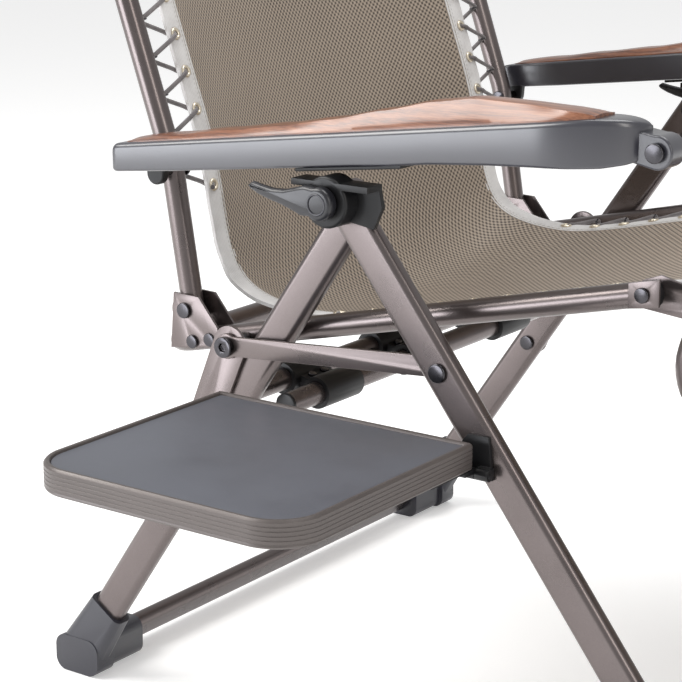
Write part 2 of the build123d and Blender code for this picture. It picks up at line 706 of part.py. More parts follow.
export_step(tb.part, "parts/table_bracket.step")
with BuildPart() as th:
    with BuildSketch(yz(128.4)):
        with Locations((HINGE_Y, HINGE_Z)):
            Circle(4.6)
        with Locations((HINGE_Y - 8, HINGE_Z + 2.6)):
            Rectangle(16, 3.8)
    extrude(amount=17.2)
    with BuildSketch(Plane(origin=pt(100, -372, TZ0 - 2.6))):
        Rectangle(84, 52)
    extrude(amount=2.4)
    with BuildSketch(yz(127)):
        with Locations((HINGE_Y, HINGE_Z)):
            Circle(2.06)
    extrude(amount=20, mode=Mode.SUBTRACT)
    for x, y in ((70, -360), (130, -360), (70, -388), (130, -388)):
        with BuildSketch(Plane(origin=pt(x, y, TZ0 - 4.8))):
            Circle(4.0)
        extrude(amount=2.4)
th.part.label = "table_hinge_plate"
export_step(th.part, "parts/table_hinge_plate.step")

# ---------------------------------------------------------------- sling, lacing, headrest
def strip(points, thick):
    """Closed side-view outline of a sheet of the given thickness along the points."""
    up, dn = [], []
    n = len(points)
    for i, p in enumerate(points):
        a = points[max(i - 1, 0)]
        b = points[min(i + 1, n - 1)]
        d = hypot(b[0] - a[0], b[1] - a[1])
        nx, nz = -(b[1] - a[1]) / d, (b[0] - a[0]) / d
        up.append((p[0] + nx * thick / 2, p[1] + nz * thick / 2))
        dn.append((p[0] - nx * thick / 2, p[1] - nz * thick / 2))
    return up + dn[::-1] + [up[0]]

SEAT_LINE = [(-150, 356.0), (-110, 341.0), (-60, 335.5), (0, 342.0), (60, 356.0), (120, 377.0), (180, 402.0), (230, 425.0), (262, 441.0)]
SEAT_EDGE = [(-150, 362.0), (-110, 360.5), (-60, 370.0), (0, 384.5), (60, 398.6), (120, 412.7), (180, 426.8), (230, 438.5), (262, 445.0)]
BACK_LINE = [(-196, 408.0), (-226, 450.0), (-248, 500.0), (-272, 570.0), (-300, 650.0), (-330, 740.0), (-360, 830.0), (-388, 920.0), (-399, 1005.0)]
BACK_EDGE = [(-196, 408.0), (-203, 450.0), (-212, 500.0), (-236.6, 570.0), (-264.7, 650.0), (-296.4, 740.0), (-328, 830.0), (-359.7, 920.0), (-389.6, 1005.0)]
FOOT_LINE = [(300, 420.0), (340, 395.0), (400, 357.0), (460, 320.0), (510, 289.0), (548, 266.0)]

def soft(name, line, thick, ya, yb):
    with BuildPart() as sheet:
        y1, y2 = sorted((ya, yb))
        with BuildSketch(side(y2)):
            with BuildLine():
                Polyline(*strip(line, thick))
            make_face()
        extrude(amount=y2 - y1)
    return sheet

seat_sling = soft("seat_sling", SEAT_LINE, SLING_T, -SLING_HALF, SLING_HALF)
seat_sling.part.label = "seat_sling"
export_step(seat_sling.part, "parts/seat_sling.step")
back_sling = soft("back_sling", BACK_LINE, SLING_T, -SLING_HALF, SLING_HALF)
back_sling.part.label = "back_sling"
export_step(back_sling.part, "parts/back_sling.step")
foot_sling = soft("foot_sling", FOOT_LINE, SLING_T, -SLING_HALF, SLING_HALF)
foot_sling.part.label = "foot_sling"
export_step(foot_sling.part, "parts/foot_sling.step")

# binding strips stand between the sheet and the lacing
with BuildPart() as back_binding:
    for s, tag in SIDES:
        y1, y2 = sorted((s * (SLING_HALF + 0.3), s * (SLING_HALF + BIND_W)))
        with BuildSketch(side(y2)):
            with BuildLine():
                Polyline(*strip(BACK_EDGE, 4.0))
            make_face()
        extrude(amount=y2 - y1)
back_binding.part.label = "back_binding"
export_step(back_binding.part, "parts/back_binding.step")
with BuildPart() as seat_binding:
    for s, tag in SIDES:
        y1, y2 = sorted((s * (SLING_HALF + 0.3), s * (SLING_HALF + BIND_W)))
        with BuildSketch(side(y2)):
            with BuildLine():
                Polyline(*strip(SEAT_EDGE, 4.0))
            make_face()
        extrude(amount=y2 - y1)
seat_binding.part.label = "seat_binding"
export_step(seat_binding.part, "parts/seat_binding.step")

def on_edge(edge, t):
    segs = [hypot(b[0] - a[0], b[1] - a[1]) for a, b in zip(edge, edge[1:])]
    d = t * sum(segs)
    for (a, b), L in zip(zip(edge, edge[1:]), segs):
        if d <= L:
            return (a[0] + (b[0] - a[0]) * d / L, a[1] + (b[1] - a[1]) * d / L)
        d -= L
    return edge[-1]

BACK_EYES = [on_edge(BACK_EDGE, (i + 0.7) / 16) for i in range(16)]
SEAT_EYES = [on_edge(SEAT_EDGE, (i + 0.4) / 9) for i in range(8)]
with BuildPart() as back_lacing:
    for s, tag in SIDES:
        for c in BACK_EYES:
            if c[1] > 955:
                continue
            y1, y2 = sorted((s * (SLING_HALF + BIND_W), s * (Y_TUBE - TUBE_R - 0.4)))
            with BuildSketch(side(y2)):
                with Locations(c):
                    Circle(2.0)
            extrude(amount=y2 - y1)
back_lacing.part.label = "back_lacing"
export_step(back_lacing.part, "parts/back_lacing.step")
with BuildPart() as seat_lacing:
    for s, tag in SIDES:
        for c in SEAT_EYES:
            if c[0] > 196 or abs(c[0] - P[0]) < 12:
                continue
            y1, y2 = sorted((s * (SLING_HALF + BIND_W), s * (Y_TUBE - TUBE_R - 0.4)))
            with BuildSketch(side(y2)):
                with Locations(c):
                    Circle(2.0)
            extrude(amount=y2 - y1)
seat_lacing.part.label = "seat_lacing"
export_step(seat_lacing.part, "parts/seat_lacing.step")

# headrest pillow lies on the front of the upper back sheet, held by a band behind it
ub, _ = along(BACK_BEND, BACK_TOP)
PC = (-345.0, 905.0)
with BuildPart() as pillow:
    with BuildSketch(Plane(origin=pt(PC[0], 0, PC[1]), x_dir=(0, 1, 0), z_dir=(ub[1], 0, -ub[0]))):
        RectangleRounded(380, 150, 40)
    extrude(amount=52)
    fillet(pillow.faces().sort_by(Axis.X)[-1].edges(), 18)
pillow.part.label = "headrest_pillow"
export_step(pillow.part, "parts/headrest_pillow.step")
print("done")
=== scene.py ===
import json
import math
import random

import bmesh
import bpy
import numpy as np
from mathutils import Matrix, Vector
from mathutils import noise as mnoise


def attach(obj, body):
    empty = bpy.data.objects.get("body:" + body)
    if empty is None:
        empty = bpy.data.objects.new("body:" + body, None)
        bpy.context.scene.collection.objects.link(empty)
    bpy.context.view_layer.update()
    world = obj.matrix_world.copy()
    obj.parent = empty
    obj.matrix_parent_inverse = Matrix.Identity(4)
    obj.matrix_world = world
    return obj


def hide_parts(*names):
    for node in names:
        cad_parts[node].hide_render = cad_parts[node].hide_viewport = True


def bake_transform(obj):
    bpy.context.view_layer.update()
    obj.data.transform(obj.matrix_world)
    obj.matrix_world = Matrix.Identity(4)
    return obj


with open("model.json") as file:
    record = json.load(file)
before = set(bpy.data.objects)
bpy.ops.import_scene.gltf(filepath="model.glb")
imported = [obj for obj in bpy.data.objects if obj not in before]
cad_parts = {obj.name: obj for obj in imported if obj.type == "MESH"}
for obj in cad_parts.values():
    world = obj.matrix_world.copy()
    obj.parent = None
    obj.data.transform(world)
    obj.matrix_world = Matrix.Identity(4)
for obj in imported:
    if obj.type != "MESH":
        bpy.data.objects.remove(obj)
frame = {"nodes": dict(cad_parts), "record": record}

random.seed(7)
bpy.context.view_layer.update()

CX, CY = 80.5, -109.5
NODES = frame["nodes"]


def W(x, y, z):
    return Vector(((x - CX) / 1000.0, (y - CY) / 1000.0, z / 1000.0))


# ------------------------------------------------------------------ materials
def new_mat(name, color, rough, metal=0.0, spec=0.5, coat=0.0, coat_rough=0.1, sheen=0.0):
    m = bpy.data.materials.new(name)
    m.use_nodes = True
    nt = m.node_tree
    b = nt.nodes["Principled BSDF"]
    b.inputs["Base Color"].default_value = (*color, 1)
    b.inputs["Roughness"].default_value = rough
    b.inputs["Metallic"].default_value = metal
    b.inputs["Specular IOR Level"].default_value = spec
    b.inputs["Coat Weight"].default_value = coat
    b.inputs["Coat Roughness"].default_value = coat_rough
    b.inputs["Sheen Weight"].default_value = sheen
    return m, nt, b


def N(nt, kind, **props):
    n = nt.nodes.new(kind)
    for k, v in props.items():
        setattr(n, k, v)
    return n


def coords(nt, scale=(1, 1, 1), kind="Object"):
    tc = N(nt, "ShaderNodeTexCoord")
    mp = N(nt, "ShaderNodeMapping")
    mp.inputs["Scale"].default_value = scale
    nt.links.new(tc.outputs[kind], mp.inputs["Vector"])
    return mp.outputs["Vector"]


def noise(nt, vec, scale, detail=4.0, rough=0.55):
    n = N(nt, "ShaderNodeTexNoise")
    n.inputs["Scale"].default_value = scale
    n.inputs["Detail"].default_value = detail
    n.inputs["Roughness"].default_value = rough
    nt.links.new(vec, n.inputs["Vector"])
    return n.outputs["Fac"]


def ramp(nt, fac, stops):
    r = N(nt, "ShaderNodeValToRGB")
    el = r.color_ramp.elements
    while len(el) < len(stops):
        el.new(0.5)
    for e, (p, c) in zip(el, stops):
        e.position = p
        e.color = (*c, 1)
    nt.links.new(fac, r.inputs["Fac"])
    return r.outputs["Color"]


def maprange(nt, fac, lo, hi, a=0.0, b=1.0):
    n = N(nt, "ShaderNodeMapRange")
    n.inputs["From Min"].default_value = a
    n.inputs["From Max"].default_value = b
    n.inputs["To Min"].default_value = lo
    n.inputs["To Max"].default_value = hi
    nt.links.new(fac, n.inputs["Value"])
    return n.outputs["Result"]


def math_node(nt, op, a, b=None):
    n = N(nt, "ShaderNodeMath", operation=op)
    for i, v in enumerate((a, b)):
        if v is None:
            continue
        if isinstance(v, (int, float)):
            n.inputs[i].default_value = v
        else:
            nt.links.new(v, n.inputs[i])
    return n.outputs[0]


def bump(nt, b, height, strength, dist):
    n = N(nt, "ShaderNodeBump")
    n.inputs["Strength"].default_value = strength
    n.inputs["Distance"].default_value = dist
    nt.links.new(height, n.inputs["Height"])
    nt.links.new(n.outputs["Normal"], b.inputs["Normal"])


def speckled(name, color, dark, rough, metal, nscale, strength, dist, coat=0.0, rvar=0.08, spec=0.5):
    """A coating or moulding: slow colour drift, fine grain and roughness that varies."""
    m, nt, b = new_mat(name, color, rough, metal, spec=spec, coat=coat, coat_rough=0.22)
    v = coords(nt)
    slow = noise(nt, v, 14.0, 3.0)
    fine = noise(nt, v, nscale, 2.0, 0.7)
    mix = math_node(nt, "ADD", math_node(nt, "MULTIPLY", slow, 0.55), math_node(nt, "MULTIPLY", fine, 0.45))
    light = tuple(min(1, c * 1.12) for c in color)
    col = ramp(nt, mix, [(0.30, dark), (0.5, color), (0.72, light)])
    nt.links.new(col, b.inputs["Base Color"])
    nt.links.new(maprange(nt, slow, rough - rvar, rough + rvar, 0.3, 0.7), b.inputs["Roughness"])
    bump(nt, b, fine, strength, dist)
    return m


MAT = {}
MAT["powder_coat"] = speckled("powder_coat", (0.155, 0.131, 0.128), (0.130, 0.110, 0.108), 0.29, 0.86, 900.0, 0.05, 0.0001, coat=0.15, rvar=0.04)
MAT["steel"] = speckled("dark_steel", (0.072, 0.070, 0.076), (0.048, 0.046, 0.052), 0.20, 1.0, 500.0, 0.06, 0.0002, rvar=0.05)
MAT["charcoal_plastic"] = speckled("charcoal_plastic", (0.030, 0.030, 0.040), (0.025, 0.025, 0.034), 0.32, 0.0, 1400.0, 0.06, 0.0001, coat=0.8, rvar=0.03, spec=0.6)
MAT["lever_plastic"] = speckled("lever_plastic", (0.013, 0.013, 0.017), (0.010, 0.010, 0.013), 0.36, 0.0, 1200.0, 0.12, 0.0001, coat=0.2)
MAT["slate_plastic"] = speckled("slate_plastic", (0.026, 0.026, 0.035), (0.020, 0.020, 0.028), 0.36, 0.0, 1200.0, 0.16, 0.0002, coat=0.2)
MAT["black_plastic"] = speckled("black_plastic", (0.008, 0.008, 0.009), (0.005, 0.005, 0.006), 0.42, 0.0, 1200.0, 0.12, 0.0001, spec=0.35)
MAT["table_top"] = speckled("table_top", (0.094, 0.099, 0.118), (0.076, 0.080, 0.096), 0.42, 0.0, 1100.0, 0.30, 0.0003)
MAT["table_edge"] = speckled("table_edge", (0.112, 0.097, 0.092), (0.088, 0.076, 0.072), 0.40, 0.35, 900.0, 0.20, 0.0002)
MAT["brass"] = speckled("eyelet_brass", (0.80, 0.72, 0.58), (0.62, 0.54, 0.42), 0.32, 1.0, 600.0, 0.05, 0.0001)


def wood_mat():
    m, nt, b = new_mat("varnished_wood", (0.20, 0.07, 0.03), 0.36, coat=0.7, coat_rough=0.22)
    warp = coords(nt, (5.0, 9.0, 9.0))
    w = noise(nt, warp, 1.3, 2.0, 0.5)
    tc = N(nt, "ShaderNodeTexCoord")
    sx = N(nt, "ShaderNodeSeparateXYZ")
    nt.links.new(tc.outputs["Object"], sx.inputs[0])
    ring = math_node(nt, "SINE", math_node(nt, "ADD", math_node(nt, "MULTIPLY", sx.outputs[1], 900.0), math_node(nt, "ADD", math_node(nt, "MULTIPLY", sx.outputs[2], 260.0), math_node(nt, "MULTIPLY", w, 26.0))))
    v2 = coords(nt, (14.0, 520.0, 520.0))
    fine = noise(nt, v2, 1.6, 3.0, 0.65)
    mix = math_node(nt, "ADD", math_node(nt, "MULTIPLY", ring, 0.055), math_node(nt, "ADD", math_node(nt, "MULTIPLY", fine, 0.55), math_node(nt, "MULTIPLY", w, 0.36)))
    col = ramp(nt, mix, [(0.24, (0.050, 0.015, 0.008)), (0.38, (0.130, 0.042, 0.019)), (0.48, (0.215, 0.078, 0.035)), (0.66, (0.330, 0.142, 0.072))])
    nt.links.new(col, b.inputs["Base Color"])
    nt.links.new(maprange(nt, fine, 0.30, 0.44), b.inputs["Roughness"])
    bump(nt, b, fine, 0.10, 0.0002)
    return m


MAT["wood"] = wood_mat()


def uv_wave(nt, axis_scale, offset=0.0):
    """sin of one UV direction; axis_scale = (u factor, v factor) in radians per metre."""
    tc = N(nt, "ShaderNodeTexCoord")
    sx = N(nt, "ShaderNodeSeparateXYZ")
    nt.links.new(tc.outputs["UV"], sx.inputs[0])
    a = math_node(nt, "MULTIPLY", sx.outputs[0], axis_scale[0])
    c = math_node(nt, "MULTIPLY", sx.outputs[1], axis_scale[1])
    return math_node(nt, "SINE", math_node(nt, "ADD", math_node(nt, "ADD", a, c), offset))


def mesh_mat(name, scale=1.0):
    m, nt, b = new_mat(name, (0.30, 0.25, 0.20), 0.60, sheen=0.12)
    a = uv_wave(nt, (2 * math.pi / (0.0058 * scale), 0.0))
    c = uv_wave(nt, (0.0, 2 * math.pi / (0.0054 * scale)))
    dots = math_node(nt, "MULTIPLY", a, c)
    v = coords(nt, (1, 1, 1), "UV")
    slow = noise(nt, v, 7.0, 4.0)
    yarn = noise(nt, v, 700.0, 2.0, 0.7)
    t = math_node(nt, "ADD", math_node(nt, "MULTIPLY", dots, 0.30), math_node(nt, "ADD", math_node(nt, "MULTIPLY", yarn, 0.40), math_node(nt, "MULTIPLY", slow, 0.14)))
    col = ramp(nt, t, [(0.02, (0.045, 0.034, 0.026)), (0.15, (0.120, 0.094, 0.072)), (0.29, (0.300, 0.243, 0.190)), (0.62, (0.430, 0.362, 0.292))])
    nt.links.new(col, b.inputs["Base Color"])
    nt.links.new(maprange(nt, yarn, 0.48, 0.68), b.inputs["Roughness"])
    bump(nt, b, math_node(nt, "ADD", math_node(nt, "MULTIPLY", dots, 0.7), math_node(nt, "MULTIPLY", yarn, 0.5)), 0.35, 0.0004)
    return m


def tape_mat():
    m, nt, b = new_mat("binding_tape", (0.60, 0.59, 0.58), 0.6, sheen=0.3)
    a = uv_wave(nt, (2 * math.pi / 0.0022, 2 * math.pi / 0.0044))
    c = uv_wave(nt, (2 * math.pi / 0.0022, -2 * math.pi / 0.0044))
    tw = math_node(nt, "MULTIPLY", a, c)
    v = coords(nt, (1, 1, 1), "UV")
    slow = noise(nt, v, 30.0, 4.0)
    t = math_node(nt, "ADD", math_node(nt, "MULTIPLY", tw, 0.16), slow)
    col = ramp(nt, t, [(0.25, (0.50, 0.485, 0.475)), (0.5, (0.66, 0.645, 0.635)), (0.8, (0.76, 0.75, 0.74))])
    nt.links.new(col, b.inputs["Base Color"])
    bump(nt, b, tw, 0.35, 0.0005)
    return m


def cord_mat():
    m, nt, b = new_mat("elastic_cord", (0.13, 0.125, 0.13), 0.6, sheen=0.4)
    a = uv_wave(nt, (2 * math.pi / 0.0030, 2 * math.pi / 0.25))
    c = uv_wave(nt, (2 * math.pi / 0.0030, -2 * math.pi / 0.25))
    tw = math_node(nt, "MULTIPLY", a, c)
    v = coords(nt, (1, 1, 1), "UV")
    slow = noise(nt, v, 60.0, 3.0)
    t = math_node(nt, "ADD", math_node(nt, "MULTIPLY", tw, 0.22), slow)
    col = ramp(nt, t, [(0.25, (0.060, 0.052, 0.054)), (0.55, (0.120, 0.106, 0.108)), (0.85, (0.20, 0.18, 0.18))])
    nt.links.new(col, b.inputs["Base Color"])
    bump(nt, b, tw, 0.5, 0.0006)
    return m


def thread_mat():
    m, nt, b = new_mat("thread", (0.48, 0.46, 0.43), 0.6, sheen=0.3)
    v = coords(nt)
    t = noise(nt, v, 900.0, 2.0)
    nt.links.new(ramp(nt, t, [(0.3, (0.36, 0.345, 0.32)), (0.7, (0.56, 0.545, 0.51))]), b.inputs["Base Color"])
    return m


MAT["mesh"] = mesh_mat("mesh_fabric")
MAT["pillow"] = mesh_mat("pillow_fabric", 0.8)
MAT["binding"] = tape_mat()
MAT["cord"] = cord_mat()
MAT["thread"] = thread_mat()


# ------------------------------------------------------------------ geometry helpers
def link(o):
    bpy.context.scene.collection.objects.link(o)
    return o


def sharp(me, angle=38.0):
    bm = bmesh.new()
    bm.from_mesh(me)
    for f in bm.faces:
        f.smooth = True
    for e in bm.edges:
        e.smooth = not (len(e.link_faces) != 2 or e.calc_face_angle(0.0) > math.radians(angle))
    bm.to_mesh(me)
    bm.free()


def obj_from(name, verts, faces, mat, uvs=None, angle=38.0):
    me = bpy.data.meshes.new(name)
    me.from_pydata([tuple(v) for v in verts], [], faces)
    me.validate()
    if uvs is not None:
        lay = me.uv_layers.new(name="UVMap")
        for l in me.loops:
            lay.data[l.index].uv = uvs[l.vertex_index]
    sharp(me, angle)
    o = link(bpy.data.objects.new(name, me))
    me.materials.append(MAT[mat])
    return o


def merge(name, objs):
    """Joins meshes that share a material into one object."""
    verts, faces, uvs, off = [], [], [], 0
    mats = objs[0].data.materials[0]
    me = bpy.data.meshes.new(name)
    bm = bmesh.new()
    for o in objs:
        tmp = o.data.copy()
        tmp.transform(o.matrix_world)
        bm.from_mesh(tmp)
        bpy.data.meshes.remove(tmp)
    bm.to_mesh(me)
    bm.free()
    me.materials.append(mats)
    for o in objs:
        bpy.data.objects.remove(o)
    return link(bpy.data.objects.new(name, me))


def fillet_path(pts, radius, step=0.006):
    pts = [Vector(p) for p in pts]
    out = [pts[0]]
    for i in range(1, len(pts) - 1):
        a, p, b = pts[i - 1], pts[i], pts[i + 1]
        r = radius[i - 1] if isinstance(radius, (list, tuple)) else radius
        u, w = (a - p).normalized(), (b - p).normalized()
        th = u.angle(w)
        d = r / math.tan(th / 2)
        c = p + (u + w).normalized() * (r / math.sin(th / 2))
        s, e = p + u * d, p + w * d
        v1, v2 = s - c, e - c
        tot = v1.angle(v2)
        n = max(4, int(tot * r / step))
        axis = v1.cross(v2).normalized()
        for k in range(n + 1):
            out.append(c + Matrix.Rotation(tot * k / n, 3, axis) @ v1)
    out.append(pts[-1])
    return out


def sweep(name, path, profile, mat, x_dir=None, cap=True, twist=None, angle=38.0):
    """Carries a closed profile [(a, b), ...] along the path by parallel transport."""
    n = len(path)
    tan = []
    for i in range(n):
        a, b = path[max(i - 1, 0)], path[min(i + 1, n - 1)]
        tan.append((b - a).normalized())
    x = Vector(x_dir) if x_dir is not None else tan[0].orthogonal()
    x = (x - tan[0] * x.dot(tan[0])).normalized()
    verts, uvs, m = [], [], len(profile)
    per = [0.0]
    for k in range(m):
        a, b = profile[k], profile[(k + 1) % m]
        per.append(per[-1] + math.hypot(b[0] - a[0], b[1] - a[1]))
    s = 0.0
    for i in range(n):
        if i:
            s += (path[i] - path[i - 1]).length
            q = tan[i - 1].rotation_difference(tan[i])
            x = q @ x
            x = (x - tan[i] * x.dot(tan[i])).normalized()
        y = tan[i].cross(x)
        for k, (a, b) in enumerate(profile):
            verts.append(path[i] + x * a + y * b)
            uvs.append((s, per[k]))
    faces = []
    for i in range(n - 1):
        for k in range(m):
            k2 = (k + 1) % m
            faces.append((i * m + k, i * m + k2, (i + 1) * m + k2, (i + 1) * m + k))
    if cap:
        faces.append(tuple(reversed(range(m))))
        faces.append(tuple((n - 1) * m + k for k in range(m)))
    o = obj_from(name, verts, faces, mat, uvs, angle)
    bm = bmesh.new()
    bm.from_mesh(o.data)
    bmesh.ops.recalc_face_normals(bm, faces=bm.faces)
    bm.to_mesh(o.data)
    bm.free()
    return o


def circle(r, n=28):
    return [(r * math.cos(2 * math.pi * k / n), r * math.sin(2 * math.pi * k / n)) for k in range(n)]


def rrect(w, h, r, n=7):
    out = []
    for cx, cy, a0 in ((w / 2 - r, h / 2 - r, 0), (-w / 2 + r, h / 2 - r, 90), (-w / 2 + r, -h / 2 + r, 180), (w / 2 - r, -h / 2 + r, 270)):
        for k in range(n + 1):
            a = math.radians(a0 + 90 * k / n)
            out.append((cx + r * math.cos(a), cy + r * math.sin(a)))
    return out


def refine(node, mat, body, width=0.0007, segs=2, angle=32.0):
    """A cleaner, edge-rounded mesh of a CAD piece that stands for it."""
    src = NODES[node]
    me = src.data.copy()
    me.name = node + "_mesh"
    bm = bmesh.new()
    bm.from_mesh(me)
    bmesh.ops.remove_doubles(bm, verts=bm.verts, dist=2e-6)
    bmesh.ops.dissolve_limit(bm, angle_limit=math.radians(0.5), verts=bm.verts, edges=bm.edges)
    bmesh.ops.recalc_face_normals(bm, faces=bm.faces)
    for f in bm.faces:
        f.smooth = True
    bm.to_mesh(me)
    bm.free()
    me.materials.clear()
    me.materials.append(MAT[mat])
    o = link(bpy.data.objects.new(node + ".v", me))
    bv = o.modifiers.new("edges", "BEVEL")
    bv.width = width
    bv.segments = segs
    bv.limit_method = "ANGLE"
    bv.angle_limit = math.radians(angle)
    bv.harden_normals = True
    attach(o, body)
    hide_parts(node)
    return o


def slotted(o, s):
    return o


# ------------------------------------------------------------------ design points (mm)
O = (8.0, 494.0)
Q = (103.0, 369.2)
P = (-123.0, 352.0)
R = (-180.0, 216.0)
H = (-190.0, 369.0)
S = (294.0, 437.0)
K = (-208.0, 491.0)
J = (276.0, 559.0)
Y_TUBE, Y_FOOT, TUBE_R = 277.0, 254.0, 10.0


def seat_z(x):
    return 384.5 + 0.235 * x


BODY = {}
for b, members in frame["record"]["behaviour"]["bodies"].items():
    for n in members:
        BODY[n] = b

# ------------------------------------------------------------------ tubes
def tube_node(node, pts, radius, body):
    path = fillet_path([W(*p) for p in pts], radius / 1000.0)
    o = sweep(node + ".v", path, circle(TUBE_R / 1000.0, 32), "powder_coat")
    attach(o, body)
    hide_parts(node)
    return o


tube_node("seat_frame_tube", [(262, -277, seat_z(262)), (-222, -277, seat_z(-222)), (-222, 277, seat_z(-222)), (262, 277, seat_z(262))], 34, "seat_frame")
tube_node("back_frame_tube", [(-188.5, -277, 360), (-212, -277, 500), (-404, -277, 1046), (-404, 277, 1046), (-212, 277, 500), (-188.5, 277, 360)], 70, "back_frame")
FP = [(272.5, 568.0), (306.0, 475.0), (272.0, 362.0), (565.0, 250.0)]
tube_node("footrest_frame_tube", [(x, -254, z) for x, z in FP] + [(x, 254, z) for x, z in reversed(FP)], 42, "footrest")


def leg_piece(node, foot, yc, body, s):
    u = Vector((foot[0] - O[0], 0, -O[1])).normalized()
    L = math.hypot(foot[0] - O[0], O[1])
    a = Vector((O[0], s * yc, O[1])) - u * 7.5
    e = Vector((O[0], s * yc, O[1])) + u * (L - 20.0 / -u.z + 8.0)
    pts = [W(*(a + (e - a) * t)) for t in (0, 0.25, 0.5, 0.75, 1)]
    o = sweep(node + ".v", pts, rrect(0.015, 0.032, 0.0064, 8), "powder_coat", x_dir=(0, 1, 0))
    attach(o, body)
    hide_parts(node)


for s, tag in ((-1, "right"), (1, "left")):
    leg_piece("front_leg_" + tag, (384, 0), 323.5, "front_legs", s)
    leg_piece("rear_leg_" + tag, (-326, 0), 299.5, "rear_legs", s)

for node, foot, yc in (("front_floor_bar", (384, 0), 323.5), ("rear_floor_bar", (-326, 0), 299.5)):
    u = Vector((foot[0] - O[0], 0, -O[1])).normalized()
    L = math.hypot(foot[0] - O[0], O[1])
    c = Vector((O[0], 0, O[1])) + u * (L - 20.0 / -u.z)
    half = yc - 7.5
    pts = [W(c.x, -half + 2 * half * t, c.z) for t in (0, 0.5, 1)]
    o = sweep(node + ".v", pts, rrect(0.032, 0.015, 0.0064, 8), "powder_coat", x_dir=tuple(u))
    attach(o, BODY[node])
    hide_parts(node)

for node, c, half in (("mid_crossbar_upper", (-118.5, 307.0), 292.0), ("mid_crossbar_lower", (-82.0, 300.0), 283.0)):
    o = sweep(node + ".v", [W(c[0], -half + 2 * half * t, c[1]) for t in (0, 0.25, 0.5, 0.75, 1)], circle(0.010, 32), "powder_coat")
    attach(o, "rear_legs")
    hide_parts(node)

# ------------------------------------------------------------------ machined and moulded pieces
for node, mat, w in (
    ("front_foot_right", "slate_plastic", 0.0022), ("front_foot_left", "slate_plastic", 0.0022),
    ("rear_foot_right", "slate_plastic", 0.0022), ("rear_foot_left", "slate_plastic", 0.0022),
    ("apex_bolts", "steel", 0.0008), ("cam_barrel_right", "black_plastic", 0.0012), ("cam_barrel_left", "black_plastic", 0.0012),
    ("link_pivot_rivets", "steel", 0.0014), ("table_bracket", "black_plastic", 0.0008), ("crossbar_clamps", "black_plastic", 0.0014),
    ("clamp_screws", "steel", 0.0006), ("crossbar_plugs", "black_plastic", 0.0012), ("lever_pivot_rivets", "steel", 0.0012),
    ("link_bar_right", "powder_coat", 0.0006), ("link_bar_left", "powder_coat", 0.0006), ("link_end_bolts", "steel", 0.0009),
    ("lever_arm_right", "powder_coat", 0.0006), ("lever_arm_left", "powder_coat", 0.0006), ("seat_pivot_bolts", "steel", 0.0006),
    ("seat_tube_plugs", "black_plastic", 0.0010), ("hinge_plates_outer", "powder_coat", 0.0006), ("hinge_plates_inner", "powder_coat", 0.0006),
    ("hinge_plate_rivets", "steel", 0.0009), ("front_bracket_plates", "powder_coat", 0.0006), ("back_hinge_rivets", "steel", 0.0009),
    ("arm_pivot_bolts", "steel", 0.0009),
    ("slide_rails", "black_plastic", 0.0005), ("arm_front_bolts", "steel", 0.0010), ("foot_pivot_rivets", "steel", 0.0009),
    ("table_hinge_plate", "black_plastic", 0.0005),
):
    o = refine(node, mat, BODY[node], w, 3)


def arm_top(x):
    return 551.5 + 0.135 * x


def lerp_pts(pts, x):
    if x <= pts[0][0]:
        return pts[0][1]
    for (x0, z0), (x1, z1) in zip(pts, pts[1:]):
        if x <= x1:
            return z0 + (z1 - z0) * (x - x0) / (x1 - x0)
    return pts[-1][1]


def arm_out(x):
    """Outer face of the arm in plan: straight, then a quarter ellipse round to the front."""
    t = min(max((x - 188.0) / 77.0, 0.0), 1.0)
    return 343.2 - 44.5 * (1 - math.sqrt(max(0.0, 1 - t * t)))


ARM_LOW = [(-224, 497.0), (-150, 505.25), (-60, 516.5), (30, 527.8), (60, 531.0), (100, 536.5), (150, 541.0), (190, 543.6), (215, 544.6), (240, 546.2), (255, 549.0), (266, 553.0)]


